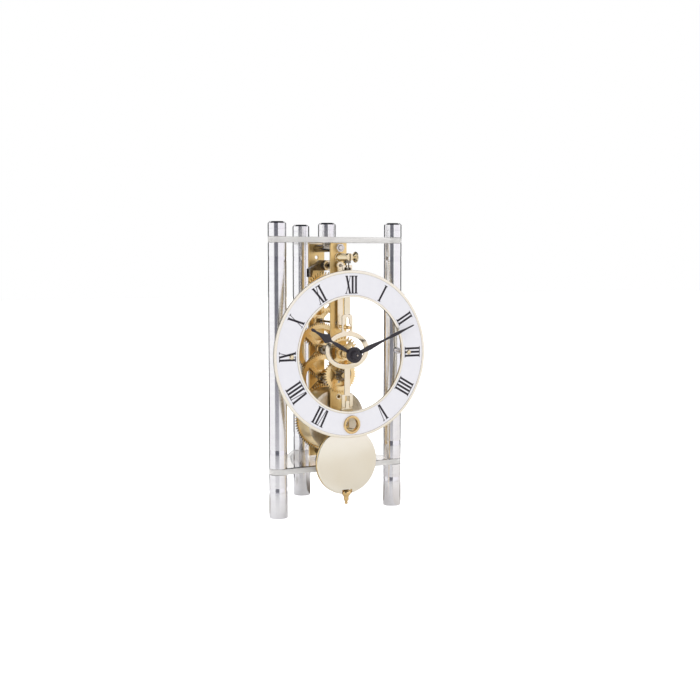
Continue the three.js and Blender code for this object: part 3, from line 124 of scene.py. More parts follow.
def surface(name, pale, deep, smooth, rough, grain, relief, sockets, lathe_axis=None):
    """A finish whose colour, gloss and relief follow one grain; grain is its size along x, y and z in mm."""
    material = bpy.data.materials.new(name)
    material.use_nodes = True
    tree = material.node_tree
    shader = tree.nodes["Principled BSDF"]
    place = add(tree, "ShaderNodeTexCoord")
    spread = add(tree, "ShaderNodeMapping", {"Scale": [1 / (size * MM) for size in grain]},
                 {"Vector": place.outputs["Object"]})
    marks = add(tree, "ShaderNodeTexNoise",
                {"Scale": 1.0, "Detail": GRAIN_DETAIL, "Roughness": GRAIN_ROUGHNESS},
                {"Vector": spread.outputs["Vector"]})
    tint = add(tree, "ShaderNodeValToRGB", {}, {"Fac": marks.outputs["Fac"]})
    tint.color_ramp.elements[0].position = DEEP_BELOW
    tint.color_ramp.elements[0].color = to_linear(deep)
    tint.color_ramp.elements[1].position = PALE_ABOVE
    tint.color_ramp.elements[1].color = to_linear(pale)
    gloss = add(tree, "ShaderNodeMapRange", {"To Min": smooth, "To Max": rough},
                {"Value": marks.outputs["Fac"]})
    bump = add(tree, "ShaderNodeBump", {"Distance": relief * MM}, {"Height": marks.outputs["Fac"]})
    tree.links.new(tint.outputs["Color"], shader.inputs["Base Color"])
    tree.links.new(gloss.outputs["Result"], shader.inputs["Roughness"])
    tree.links.new(bump.outputs["Normal"], shader.inputs["Normal"])
    if lathe_axis:
        rings = add(tree, "ShaderNodeTangent", {"direction_type": "RADIAL", "axis": lathe_axis})
        tree.links.new(rings.outputs["Tangent"], shader.inputs["Tangent"])
    for socket, value in sockets.items():
        shader.inputs[socket].default_value = value
    return material


METAL = {"Metallic": 1.0}
# Lathe rings spread a reflection across themselves, a quarter turn from their own direction
LATHED = {"Metallic": 1.0, "Anisotropic": 0.9, "Anisotropic Rotation": 0.25}

# Turned stainless bar: its fine rings draw every reflection out along the post
turned_bar = surface("turned_stainless_bar", "#FEFEFF", "#F8F7FA", 0.19, 0.24, (30, 30, 2.5), 0.0002,
                     LATHED, "Z")
# The bands and chamfers on the bar are burnished almost to a mirror
burnished_bar = surface("burnished_stainless_band", "#F8F7F9", "#F2F1F5", 0.12, 0.16, (30, 30, 2), 0.0002,
                        METAL)
# Cast acrylic sheet: clear, but greyer where one looks down through its thickness; the softest waviness
clear_acrylic = surface("cast_acrylic_face", "#D3CFCA", "#CCC8C3", 0.0, 0.03, (60, 60, 60), 0.002,
                        {"Transmission Weight": 1.0, "IOR": 1.49})
# Its sawn and scraped edge scatters light and reads as a pale grey line
acrylic_edge = surface("cast_acrylic_scraped_edge", "#F9F7F5", "#F1EFED", 0.22, 0.30, (20, 20, 0.8), 0.0006,
                       {"Transmission Weight": 0.4, "IOR": 1.49})
# Pale lacquered brass, stamped and polished: cream where it mirrors the light
pale_brass = surface("lacquered_pale_brass", "#FAF0DA", "#F6E8CB", 0.14, 0.22, (8, 8, 8), 0.0008, METAL)
# The dial carrier is the same brass under a whiter lacquer
dial_brass = surface("lacquered_dial_brass", "#FFFAEC", "#FBF4E1", 0.20, 0.30, (8, 8, 8), 0.0008, METAL)
# The bob's skin is the same lacquer over a polished disc
bob_brass = surface("lacquered_brass_bob", "#FDF8E9", "#F9F2E0", 0.17, 0.22, (25, 25, 25), 0.0006, METAL)
# Rolled brass strip for the movement plates, grained along its length
strip_brass = surface("rolled_brass_strip", "#FFE3A6", "#FAD690", 0.30, 0.42, (0.7, 0.7, 30), 0.0012, METAL)
# Wheels are blanked and burnished
wheel_brass = surface("burnished_wheel_brass", "#FDE4B0", "#F8D89C", 0.20, 0.28, (9, 9, 9), 0.0006, METAL)
# Turned brass for small knobs, nuts and the eyelet: bright gold
turned_brass = surface("turned_gold_brass", "#F5D9A2", "#E9C383", 0.06, 0.12, (12, 12, 12), 0.0006, METAL)
# The suspension post and its knob are a paler bar stock, polished bright
stud_brass = surface("polished_pale_bar", "#F6E8C8", "#EAD6AC", 0.04, 0.10, (12, 12, 12), 0.0006, METAL)
# Spring-barrel lid: nickelled brass faced on the lathe, so light fans out across its rings
barrel_metal = surface("faced_barrel_nickel", "#EEE3D0", "#DED1BA", 0.24, 0.36, (1.2, 14, 1.2), 0.001,
                       LATHED, "Y")
# The barrel's side is bare brass under the same lathe rings
barrel_brass = surface("turned_barrel_brass", "#F2DFB4", "#E6CF9E", 0.24, 0.36, (1.2, 14, 1.2), 0.001,
                       LATHED, "Y")
# Polished steel of arbors and pinions, and the hardened steel of the anchor
arbor_steel = surface("polished_arbor_steel", "#BDB6AB", "#938C82", 0.12, 0.26, (5, 1, 5), 0.0015, METAL)
anchor_steel = surface("hardened_anchor_steel", "#90887C", "#6E675D", 0.18, 0.32, (3, 3, 3), 0.002, METAL)
# Nickel-plated hex nuts
bright_steel = surface("bright_plated_nut", "#E6E2DE", "#D3CECA", 0.06, 0.14, (6, 6, 6), 0.001, METAL)
# White dial lacquer with the faintest orange peel
dial_white = surface("white_dial_lacquer", "#EFEEF3", "#EBEAF0", 0.42, 0.52, (5, 5, 5), 0.0015,
                     {"Specular IOR Level": 0.3})
# Screen-printed ink, slightly uneven
numeral_ink = surface("printed_black_ink", "#3A353C", "#2D2930", 0.5, 0.65, (1.2, 1.2, 1.2), 0.002,
                      {"Specular IOR Level": 0.25})
# Satin black lacquer on stamped hands
hand_black = surface("satin_black_lacquer", "#37333A", "#2D292F", 0.38, 0.52, (1.5, 1.5, 1.5), 0.0015,
                     {"Specular IOR Level": 0.4})


# Making and finishing pieces

# Local X to the right, local Y up and local Z towards the reader of the dial
TO_READER = Matrix.Rotation(math.pi / 2, 4, "X")
# Local Z to the right of the reader
TO_RIGHT = Matrix.Rotation(math.pi / 2, 4, "Y")
# Points nearer than this, in metres, are one point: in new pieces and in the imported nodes
WELD = 1e-7
NODE_WELD = 2e-6
# Degrees: flatter edges are shaded smooth, sharper ones are rounded, and the flattest are no edges at all
SMOOTH_BELOW = 38
ROUND_ABOVE = 40
NO_EDGE = 0.5
# Faces whose normals point this straight at the reader, or away, are flat sides
FLAT_SIDE = 0.999
# Cutters go this far past what they cut, in mm
THROUGH = 1.0
# Steps in the eased edges of a stamped sheet, and between two knots of its outline
STAMP_EASE_STEPS = 2
STAMP_CURVE_STEPS = 10


def upright_at(x, y):
    return Matrix.Translation(Vector((x, y, 0)) * MM)


def facing_at(x, z):
    return Matrix.Translation(Vector((x, POST_LINE, z)) * MM) @ TO_READER


def shade(piece):
    for face in piece.data.polygons:
        face.use_smooth = True
    piece.data.set_sharp_from_angle(angle=math.radians(SMOOTH_BELOW))
    return piece


def make_piece(name, work, *finishes):
    mesh = bpy.data.meshes.new(name)
    work.to_mesh(mesh)
    work.free()
    for finish in finishes:
        mesh.materials.append(finish)
    piece = bpy.data.objects.new(name, mesh)
    scene.collection.objects.link(piece)
    return shade(piece)


def settle(piece):
    """Applies the piece's modifiers to its mesh."""
    ready = piece.evaluated_get(bpy.context.evaluated_depsgraph_get())
    mesh = bpy.data.meshes.new_from_object(ready)
    piece.modifiers.clear()
    piece.data = mesh
    return shade(piece)


def round_edges(piece, size, segments=2, angle=ROUND_ABOVE):
    edge = piece.modifiers.new("rounded_edges", "BEVEL")
    edge.width = size * MM
    edge.segments = segments
    edge.limit_method = "ANGLE"
    edge.angle_limit = math.radians(angle)
    return settle(piece)


def bore(piece, *cutters):
    """Takes the cutters out of the piece and clears them away."""
    for cutter in cutters:
        step = piece.modifiers.new("bore", "BOOLEAN")
        step.operation = "DIFFERENCE"
        step.solver = "EXACT"
        step.object = cutter
    bpy.context.view_layer.update()
    settle(piece)
    for cutter in cutters:
        bpy.data.objects.remove(cutter)


def spin_profile(work, profile, placed, closed, steps):
    points = [work.verts.new((radius * MM, 0, along * MM)) for radius, along in profile]
    pairs = list(zip(points, points[1:])) + ([(points[-1], points[0])] if closed else [])
    edges = [work.edges.new(pair) for pair in pairs]
    bmesh.ops.spin(work, geom=points + edges, cent=(0, 0, 0), axis=(0, 0, 1),
                   angle=2 * math.pi, steps=steps, use_merge=True)
    bmesh.ops.remove_doubles(work, verts=work.verts, dist=WELD)
    bmesh.ops.recalc_face_normals(work, faces=work.faces)
    bmesh.ops.transform(work, matrix=placed, verts=work.verts)


def turn(name, profile, placed, *finishes, closed=False, steps=96):
    """A lathe-turned piece from (radius, distance along its axis) pairs in mm."""
    work = bmesh.new()
    spin_profile(work, profile, placed, closed, steps)
    return make_piece(name, work, *finishes)


def drill(radius, start, end, placed, steps=48):
    return turn("drill", [(0, start), (radius, start), (radius, end), (0, end)], placed, steps=steps)


def arc(radius, across, along, start, end, steps, squash=1.0):
    """Points round an arc from start to end in degrees, or round an oval where it is squashed."""
    turns = [math.radians(start + (end - start) * step / steps) for step in range(steps + 1)]
    return [(across + radius * math.cos(a), along + radius * squash * math.sin(a)) for a in turns]


def stamp(outlines, thickness, ease, handle):
    """A sheet with eased edges: the first outline of (across, up) pairs bounds it, the others are holes."""
    cut = bpy.data.curves.new("sheet", "CURVE")
    cut.dimensions = "2D"
    cut.fill_mode = "BOTH"
    cut.extrude = (thickness / 2 - ease) * MM
    cut.bevel_depth = ease * MM
    cut.bevel_resolution = STAMP_EASE_STEPS
    cut.offset = -ease * MM
    cut.resolution_u = STAMP_CURVE_STEPS
    for outline in outlines:
        spline = cut.splines.new("BEZIER")
        spline.bezier_points.add(len(outline) - 1)
        for knot, (across, up) in zip(spline.bezier_points, outline):
            knot.co = (across * MM, up * MM, 0)
            knot.handle_left_type = knot.handle_right_type = handle
        spline.use_cyclic_u = True
    shape = bpy.data.objects.new("sheet", cut)
    scene.collection.objects.link(shape)
    mesh = bpy.data.meshes.new_from_object(shape.evaluated_get(bpy.context.evaluated_depsgraph_get()))
    bpy.data.objects.remove(shape)
    return mesh


def mirrored(side):
    """A whole outline from its right-hand side."""
    return side + [(-across, up) for across, up in reversed(side)]


def block(low, high):
    work = bmesh.new()
    size = Vector(high) - Vector(low)
    bmesh.ops.create_cube(work, size=1.0)
    bmesh.ops.scale(work, vec=size * MM, verts=work.verts)
    bmesh.ops.translate(work, vec=(Vector(low) + size / 2) * MM, verts=work.verts)
    return make_piece("block", work)


def stands_for(piece, *nodes):
    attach(piece, body_of_node[nodes[0]])
    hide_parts(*nodes)
    return piece


def goes_with(piece, node):
    """A fitting that has no node of its own and moves with the node it sits on."""
    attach(piece, body_of_node[node])
    return piece


def refine(node, size, *finishes, segments=2, reshape=None):
    """The node's own shape with merged corners, eased edges and smooth rounds, reshaped first where asked."""
    work = bmesh.new()
    work.from_mesh(frame["nodes"][node].data)
    bmesh.ops.remove_doubles(work, verts=work.verts, dist=NODE_WELD)
    if reshape:
        reshape(work, node)
    bmesh.ops.dissolve_limit(work, angle_limit=math.radians(NO_EDGE), verts=work.verts, edges=work.edges)
    piece = make_piece(f"{node}_finished", work, *finishes)
    round_edges(piece, size, segments)
    # Its flat sides are lit as the planes they are
    for face in piece.data.polygons:
        face.use_smooth = abs(face.normal.y) < FLAT_SIDE
    return stands_for(piece, node)


def second_finish(piece, *stretches, axis="z"):
    """Gives the faces within each stretch of the axis the piece's second finish."""
    for face in piece.data.polygons:
        place = face.center["xyz".index(axis)] / MM
        if any(low <= place <= high for low, high in stretches):
            face.material_index = 1


DISC_FACING = 0.7


def second_finish_of_sides(disc):
    """Gives the rim and the cuts of a disc that faces the reader its second finish."""
    for face in disc.data.polygons:
        if abs(face.normal.y) < DISC_FACING:
            face.material_index = 1


def paint(finish, *nodes):
    for node in nodes:
        for held in frame["nodes"][node].material_slots:
            held.material = finish


# The stand: legs, columns and caps turned from bar, each with its burnished bands

SPIGOT = 3.0
SPIGOT_EASE = 0.3
ROOM = 0.25
SEAT = 0.05
EDGE_EASE = 0.15
BAND_TALL = 3.6
BAND_DEEP = 0.22
BAND_FROM_SHELF = 9.2
FOOT_EASE = 0.45
CAP_EASE = 1.2
CAP_LINE = 4.9
SHELF_SCREW = 1.5


def band(low):
    """Two facets, one above the other, that each lean back a little as they rise."""
    half = BAND_TALL / 2
    inside = POST_RADIUS - BAND_DEEP
    return [(POST_RADIUS, low), (inside, low + half), (POST_RADIUS, low + half), (inside, low + BAND_TALL),
            (POST_RADIUS, low + BAND_TALL)]


def make_leg(side):
    node = f"leg_{side}"
    high = top(node)
    low = high - BAND_FROM_SHELF - BAND_TALL
    hole = SPIGOT + ROOM
    floor = bottom(f"column_{side}") - ROOM
    piece = turn(f"{node}_turned", [
        (0, 0), (POST_RADIUS - FOOT_EASE, 0), (POST_RADIUS - FOOT_EASE / 4, FOOT_EASE / 3),
        (POST_RADIUS, FOOT_EASE), *band(low), (POST_RADIUS, high - EDGE_EASE),
        (POST_RADIUS - EDGE_EASE, high), (hole, high), (hole, floor), (0, floor),
    ], upright_at(middle(node, "x"), middle(node, "y")), turned_bar, burnished_bar)
    second_finish(piece, (low, low + BAND_TALL))
    stands_for(piece, node)


def make_column(side):
    node = f"column_{side}"
    low = top("base_plate") + SEAT
    high = bottom("top_plate") - SEAT
    bands = [low + BAND_FROM_SHELF, high - BAND_FROM_SHELF - BAND_TALL]
    x, y = middle(node, "x"), middle(node, "y")
    neck = SPIGOT - SPIGOT_EASE
    piece = turn(f"{node}_turned", [
        (0, bottom(node)), (neck, bottom(node)), (SPIGOT, bottom(node) + SPIGOT_EASE), (SPIGOT, low),
        (POST_RADIUS - EDGE_EASE, low), (POST_RADIUS, low + EDGE_EASE), *band(bands[0]), *band(bands[1]),
        (POST_RADIUS, high - EDGE_EASE), (POST_RADIUS - EDGE_EASE, high), (SPIGOT, high),
        (SPIGOT, top(node) - SPIGOT_EASE), (neck, top(node)), (0, top(node)),
    ], upright_at(x, y), turned_bar, burnished_bar)
    if side in DIAL_SIDES:
        standoff = f"dial_standoff_{side}"
        socket = drill(width(standoff) / 2 + ROOM, back(standoff) - ROOM, 2 * POST_RADIUS,
                       facing_at(x, DIAL_CENTRE[1]))
        bore(piece, socket)
    second_finish(piece, *((start, start + BAND_TALL) for start in bands))
    stands_for(piece, node)


def finish_cap(node, inside, low):
    """A cap with a turned line and a burnished chamfer, closed by the profile of its inside."""
    high = top(node)
    line = low + CAP_LINE
    piece = turn(f"{node}_turned", [
        *inside, (POST_RADIUS - EDGE_EASE, low), (POST_RADIUS, low + EDGE_EASE), (POST_RADIUS, line),
        (POST_RADIUS - EDGE_EASE, line + EDGE_EASE), (POST_RADIUS, line + 2 * EDGE_EASE),
        (POST_RADIUS, high - CAP_EASE), (POST_RADIUS - CAP_EASE, high), (0, high),
    ], upright_at(middle(node, "x"), middle(node, "y")), turned_bar, burnished_bar)
    second_finish(piece, (high - CAP_EASE, high - CAP_EASE / 4))
    stands_for(piece, node)


def make_cap(side):
    node = f"cap_{side}"
    hole = SPIGOT + ROOM
    roof = top(f"column_{side}") + ROOM
    finish_cap(node, [(0, roof), (hole, roof), (hole, bottom(node))], bottom(node))


def make_hanger_cap():
    seat = bottom("cap_rear")
    end = bottom("hanger_cap")
    finish_cap("hanger_cap", [(0, end), (SHELF_SCREW, end), (SHELF_SCREW, seat)], seat)


# The shelves: clear sheet cut to a triangle that is rounded about the posts

SHELF_EASE = 0.25
SHELF_CORNER = 60
SHELF_NO_EDGE = 1
SHELF_ROUND_STEPS = 72
SHELF_FACING = 0.9


def make_shelf(node):
    low, high = span(node, "z")
    centres = [(middle(f"column_{side}", "x"), middle(f"column_{side}", "y")) for side in POSTS]
    work = bmesh.new()
    for x, y in centres:
        for z in (low, high):
            bmesh.ops.create_circle(work, cap_ends=False, segments=SHELF_ROUND_STEPS, radius=POST_RADIUS * MM,
                                    matrix=Matrix.Translation(Vector((x, y, z)) * MM))
    hull = bmesh.ops.convex_hull(work, input=work.verts)
    inside = [item for item in hull["geom_interior"] if isinstance(item, bmesh.types.BMVert)]
    bmesh.ops.delete(work, geom=inside, context="VERTS")
    bmesh.ops.dissolve_limit(work, angle_limit=math.radians(SHELF_NO_EDGE),
                             verts=work.verts, edges=work.edges)
    bmesh.ops.recalc_face_normals(work, faces=work.faces)
    piece = make_piece(f"{node}_sheet", work, clear_acrylic, acrylic_edge)
    round_edges(piece, SHELF_EASE, angle=SHELF_CORNER)
    through = (low - THROUGH, high + THROUGH)
    holes = [drill(SPIGOT + ROOM, *through, upright_at(x, y)) for x, y in centres]
    screw = drill(SHELF_SCREW + ROOM, *through,
                  upright_at(middle("hanger_cap", "x"), middle("hanger_cap", "y")))
    bore(piece, screw, *holes)
    for face in piece.data.polygons:
        face.material_index = 1 if abs(face.normal.z) < SHELF_FACING else 0
    # Light passes straight through the clear sheet
    piece.visible_shadow = False
    stands_for(piece, node)


# The dial: brass carrier, white chapter ring, printed numerals, eyelet, screws and standoffs

DIAL_BAND = 18.0
OUTER_RIM = 1.9
INNER_RIM = 1.5
RIM_ROUND = 0.25
RIM_ROUND_STEPS = 3
DIAL_STEPS = 192
CHAPTER_ROOM = 0.06
EYELET_ROOM = 5.45
SCREW_ROOM = 1.25


def dial_holes():
    through = (back("dial_ring") - 2 * THROUGH, front("dial_ring") + 2 * THROUGH)
    eyelet = drill(EYELET_ROOM, *through, facing_at(*BARREL_CENTRE), steps=72)
    screws = [drill(SCREW_ROOM, *through, facing_at(middle(f"dial_screw_{side}", "x"), DIAL_CENTRE[1]))
              for side in DIAL_SIDES]
    return [eyelet, *screws]


def make_dial():
    outside = width("dial_ring") / 2
    hole = outside - DIAL_BAND
    rear, face = back("dial_ring"), front("dial_ring")
    floor = back("chapter_ring") - SEAT
    carrier = turn("dial_carrier", [
        (hole, rear), (outside, rear), (outside, face), (outside - OUTER_RIM, face),
        (outside - OUTER_RIM, floor), (hole + INNER_RIM, floor), (hole + INNER_RIM, face), (hole, face),
    ], facing_at(*DIAL_CENTRE), dial_brass, closed=True, steps=DIAL_STEPS)
    round_edges(carrier, RIM_ROUND, RIM_ROUND_STEPS)
    bore(carrier, *dial_holes())
    stands_for(carrier, "dial_ring")

    inner = hole + INNER_RIM + CHAPTER_ROOM
    outer = outside - OUTER_RIM - CHAPTER_ROOM
    printed = turn("chapter_plate", [
        (inner, floor + SEAT), (outer, floor + SEAT), (outer, front("chapter_ring")),
        (inner, front("chapter_ring")),
    ], facing_at(*DIAL_CENTRE), dial_white, closed=True, steps=DIAL_STEPS)
    bore(printed, *dial_holes())
    stands_for(printed, "chapter_ring")


# Roman numerals: thick and hair strokes with thin feet, all pointing to the centre of the dial
NUMERAL_LOW = 40.8
NUMERAL_HIGH = 52.7
THICK = 1.4
HAIR = 0.42
FOOT = 0.5
FOOT_OVER = 0.55
X_FOOT = 0.7
INK = 0.04
WIDTHS = {"I": 2.5, "V": 4.0, "X": 3.9}
HOURS = {1: "I", 2: "II", 3: "III", 4: "IIII", 5: "V", 7: "VII", 8: "VIII", 9: "IX", 10: "X", 11: "XI",
         12: "XII"}


def stroke(work, low, high, wide, foot, head, turned):
    """A bar from low at its foot to high at its head, both measured across the numeral."""
    made = bmesh.ops.create_cube(work, size=1.0)
    slant = Matrix((
        (wide, high - low, 0, (low + high) / 2),
        (0, head - foot, 0, (foot + head) / 2),
        (0, 0, INK, 0),
        (0, 0, 0, 1),
    ))
    bmesh.ops.transform(work, matrix=turned @ slant, verts=made["verts"])


def letter(work, kind, left, turned):
    wide = WIDTHS[kind]
    centre = left + wide / 2
    ends = (NUMERAL_LOW, NUMERAL_HIGH)
    arm = (wide - THICK) / 2

    def serif(at, across, base):
        stroke(work, at, at, across + 2 * FOOT_OVER, base, base + FOOT, turned)

    head = NUMERAL_HIGH - FOOT
    if kind == "I":
        stroke(work, centre, centre, THICK, *ends, turned)
        serif(centre, THICK, NUMERAL_LOW)
        serif(centre, THICK, head)
    elif kind == "V":
        stroke(work, centre - HAIR, centre - arm, THICK, *ends, turned)
        stroke(work, centre + HAIR, centre + wide / 2 - HAIR, HAIR, *ends, turned)
        serif(centre - arm, THICK, head)
        serif(centre + wide / 2 - HAIR, HAIR, head)
    else:
        stroke(work, centre + arm, centre - arm, THICK, *ends, turned)
        stroke(work, centre - wide / 2 + HAIR, centre + wide / 2 - HAIR, HAIR, *ends, turned)
        for side in (-1, 1):
            serif(centre + side * arm, THICK * X_FOOT, NUMERAL_LOW if side > 0 else head)
            serif(centre + side * (wide / 2 - HAIR), HAIR, NUMERAL_LOW if side < 0 else head)


def make_numerals():
    work = bmesh.new()
    for hour, letters in HOURS.items():
        turned = Matrix.Rotation(-hour * math.pi / 6, 4, "Z")
        left = -sum(WIDTHS[kind] for kind in letters) / 2
        for kind in letters:
            letter(work, kind, left, turned)
            left += WIDTHS[kind]
    lift = Matrix.Translation((0, 0, front("chapter_ring") + INK / 2))
    to_metres = Matrix.Scale(MM, 4)
    bmesh.ops.transform(work, matrix=facing_at(*DIAL_CENTRE) @ to_metres @ lift, verts=work.verts)
    goes_with(make_piece("chapter_numerals", work, numeral_ink), "chapter_ring")


EYELET_BORE = 4.5
EYELET_WALL = 5.2
LIP_SQUASH = 0.55
# The lip runs from under its outer edge to under its inner edge, in degrees
LIP_START, LIP_END, LIP_STEPS = -20, 200, 11


def make_eyelet():
    rear, face = back("winding_eyelet"), front("winding_eyelet")
    brim = width("winding_eyelet") / 2
    seat = front("chapter_ring") + INK
    half = (brim - EYELET_BORE) / 2
    lip = arc(half, EYELET_BORE + half, face - half * LIP_SQUASH, LIP_START, LIP_END, LIP_STEPS, LIP_SQUASH)
    eyelet = turn("winding_eyelet_turned", [
        (EYELET_BORE, rear), (EYELET_WALL, rear), (EYELET_WALL, seat), (brim - EDGE_EASE, seat), *lip,
    ], facing_at(*BARREL_CENTRE), turned_brass, closed=True)
    stands_for(eyelet, "winding_eyelet")


SCREW_SHANK = 1.0
SCREW_EASE = 0.2
# The screw's domed head: shares of its radius, with heights above its seat and then depths below its top
HEAD_RIM = ((1.0, 0.0), (1.0, 0.25), (0.92, 0.5))
HEAD_CROWN = ((0.65, 0.12), (0.3, 0.0))
TAPPED_DEEP = 6.2


def make_dial_fixing(side):
    screw, standoff = f"dial_screw_{side}", f"dial_standoff_{side}"
    place = facing_at(middle(screw, "x"), DIAL_CENTRE[1])
    rear, face, head = back(screw), front(screw), width(screw) / 2
    under = front("chapter_ring") + INK
    stands_for(turn(f"{screw}_turned", [
        (0, rear), (SCREW_SHANK - SCREW_EASE, rear), (SCREW_SHANK, rear + SCREW_EASE), (SCREW_SHANK, under),
        *((head * share, under + rise) for share, rise in HEAD_RIM),
        *((head * share, face - drop) for share, drop in HEAD_CROWN), (0, face),
    ], place, stud_brass, steps=48), screw)
    size, end = width(standoff) / 2, front(standoff)
    floor = end - TAPPED_DEEP
    stands_for(turn(f"{standoff}_turned", [
        (0, back(standoff)), (size, back(standoff)), (size, end - SCREW_EASE), (size - SCREW_EASE, end),
        (SCREW_ROOM, end), (SCREW_ROOM, floor), (0, floor),
    ], place, burnished_bar, steps=48), standoff)


# Hands: stamped blades on turned hubs

HAND_THICKNESS = 0.7
HAND_EASE = 0.12
HUB_EASE = 0.2
HUB_ROUND = 0.25
HUB_BULGE = 0.08
HOUR_ANGLE = 300.5
HOUR_HUB, HOUR_HUB_BORE = 5.0, 3.25
MINUTE_ANGLE = 67.3
MINUTE_HUB, MINUTE_HUB_BORE = 5.35, 2.15
# Right-hand edges of the blades: distances from the blade's middle line and from the centre of the dial
HOUR_BLADE = [
    (0.75, 4.0), (1.05, 7.0), (1.4, 11.0), (1.15, 15.5), (0.72, 18.9), (1.9, 20.6), (3.25, 22.4),
    (2.6, 24.2), (1.35, 27.5), (0.72, 31.5), (0.5, 35.6),
]
MINUTE_BLADE = [
    (0.8, 4.2), (1.35, 7.5), (1.7, 11.0), (1.4, 16.0), (0.85, 22.0), (0.7, 25.5), (0.85, 29.0),
    (1.15, 33.0), (1.05, 36.5), (0.6, 42.0), (0.2, 49.0),
]
HAND_NUT_BORE = 1.2
HAND_NUT_EASE = 0.1
# How far the nut's crown lies in from its side and down from its face
HAND_NUT_CROWN = ((0, 1.0), (0.25, 0.45), (0.75, 0.1), (1.2, 0))


def make_hand(node, blade, hub, hole, angle):
    rear, face = back(node), front(node)
    flat = stamp([mirrored(blade)], HAND_THICKNESS, HAND_EASE, "AUTO")
    work = bmesh.new()
    spin_profile(work, [
        (hole, rear), (hub - HUB_EASE, rear), (hub, rear + HUB_EASE), (hub, face - HUB_ROUND),
        (hub - HUB_BULGE, face - HUB_BULGE), (hub - HUB_ROUND, face), (hole, face),
    ], Matrix.Identity(4), closed=True, steps=72)
    hub_verts = set(work.verts)
    work.from_mesh(flat)
    bpy.data.meshes.remove(flat)
    blade_verts = [vert for vert in work.verts if vert not in hub_verts]
    bmesh.ops.translate(work, vec=(0, 0, (face - HAND_THICKNESS / 2) * MM), verts=blade_verts)
    bmesh.ops.remove_doubles(work, verts=blade_verts, dist=WELD)
    turned = Matrix.Rotation(-math.radians(angle), 4, "Z")
    bmesh.ops.transform(work, matrix=facing_at(*DIAL_CENTRE) @ turned, verts=work.verts)
    stands_for(make_piece(f"{node}_stamped", work, hand_black), node)


def make_hands():
    make_hand("hour_hand", HOUR_BLADE, HOUR_HUB, HOUR_HUB_BORE, HOUR_ANGLE)
    make_hand("minute_hand", MINUTE_BLADE, MINUTE_HUB, MINUTE_HUB_BORE, MINUTE_ANGLE)
    rear, face = back("hand_nut"), front("hand_nut")
    size = width("hand_nut") / 2
    stands_for(turn("hand_nut_turned", [
        (HAND_NUT_BORE, rear), (size - HAND_NUT_EASE, rear), (size, rear + HAND_NUT_EASE),
        *((size - inward, face - down) for inward, down in HAND_NUT_CROWN), (HAND_NUT_BORE, face),
    ], facing_at(*DIAL_CENTRE), hand_black, closed=True, steps=72), "hand_nut")


# The pendulum: leader, bob and rating nut

HEAD_WIDE = 7.0
HEAD_BAR = 1.5
STRIP_WIDE = 4.2
CRUTCH_DROP = 41.6
KEYHOLE = 2.9
KEYHOLE_SLOT = 2.7
KEYHOLE_SLOT_RISE = 6.8
KEYHOLE_PLATE = 7.9
KEYHOLE_PLATE_RISE = 8.8
KEYHOLE_CORNER = 2.0
RING_DROP = 57.0
RING_TALL = 12.8
RING_BAR = 3.3
FORK_DROP = 87.0
FORK_WIDE = 8.1
FORK_SLOT = 1.65
FORK_SLOT_RISE = 7.9
LEADER_EASE = 0.18


def make_leader():
    node = "pendulum_leader"
    rear, face = back(node), front(node)
    axis = PALLET_CENTRE[1]
    key, ring = axis - CRUTCH_DROP, axis - RING_DROP
    fork_top, fork_low = axis - FORK_DROP, bottom(node)
    ring_wide = width(node) / 2
    squash = RING_TALL / ring_wide
    strip, plate, head, slot = (wide / 2 for wide in (STRIP_WIDE, KEYHOLE_PLATE, HEAD_WIDE, KEYHOLE_SLOT))
    window = width("suspension_chops") / 2 + ROOM
    window_low, window_high = bottom("suspension_chops") - ROOM, top("suspension_chops") + ROOM
    plate_top = key + KEYHOLE_PLATE_RISE

    def ring_angle(across):
        return math.degrees(math.acos(across / ring_wide))

    edge = mirrored([
        (FORK_SLOT, fork_low + FORK_SLOT_RISE), (FORK_SLOT, fork_low), (FORK_WIDE / 2, fork_low),
        (FORK_WIDE / 2, fork_top), (strip, fork_top),
        *arc(ring_wide, 0, ring, -ring_angle(strip), ring_angle(plate), 48, squash),
        *arc(KEYHOLE_CORNER, plate - KEYHOLE_CORNER, plate_top - KEYHOLE_CORNER, 0, 90, 8),
        (strip, plate_top), (strip, window_low - HEAD_BAR), (head, window_low - HEAD_BAR),
        (head, window_high + HEAD_BAR),
    ])
    oval_wide, oval_tall = ring_wide - RING_BAR, RING_TALL - RING_BAR
    oval = arc(oval_wide, 0, ring, 0, 355, 71, oval_tall / oval_wide)
    mouth = math.degrees(math.asin(slot / KEYHOLE))
    keyhole = (arc(KEYHOLE, 0, key, 90 - mouth, mouth - 270, 40)
               + arc(slot, 0, key + KEYHOLE_SLOT_RISE - slot, 180, 0, 12))
    frame_window = mirrored([(window, window_low), (window, window_high)])
    flat = stamp([edge, oval, keyhole, frame_window], face - rear, LEADER_EASE, "VECTOR")
    work = bmesh.new()
    work.from_mesh(flat)
    bpy.data.meshes.remove(flat)
    bmesh.ops.remove_doubles(work, verts=work.verts, dist=WELD)
    bmesh.ops.translate(work, vec=(0, 0, (rear + face) / 2 * MM), verts=work.verts)
    bmesh.ops.transform(work, matrix=facing_at(0, 0), verts=work.verts)
    stands_for(make_piece("pendulum_leader_sheet", work, pale_brass), node)


ROD_ROOM = 2.45
ROD_DEEP = 1.3
BOB_CROWN = 1.1
BOB_RIM = 0.8
# How far the bob's edges lie in from its side, with their heights over its back and depths under its crown
BOB_BACK = ((0.9, 0), (0.35, 0.2), (0, 0.85))
BOB_FRONT = ((0, 0.75), (0.2, 0.25), (0.55, 0.02))
BOB_DOME = (0.98, 0.85, 0.7, 0.5, 0.3, 0.15, 0)


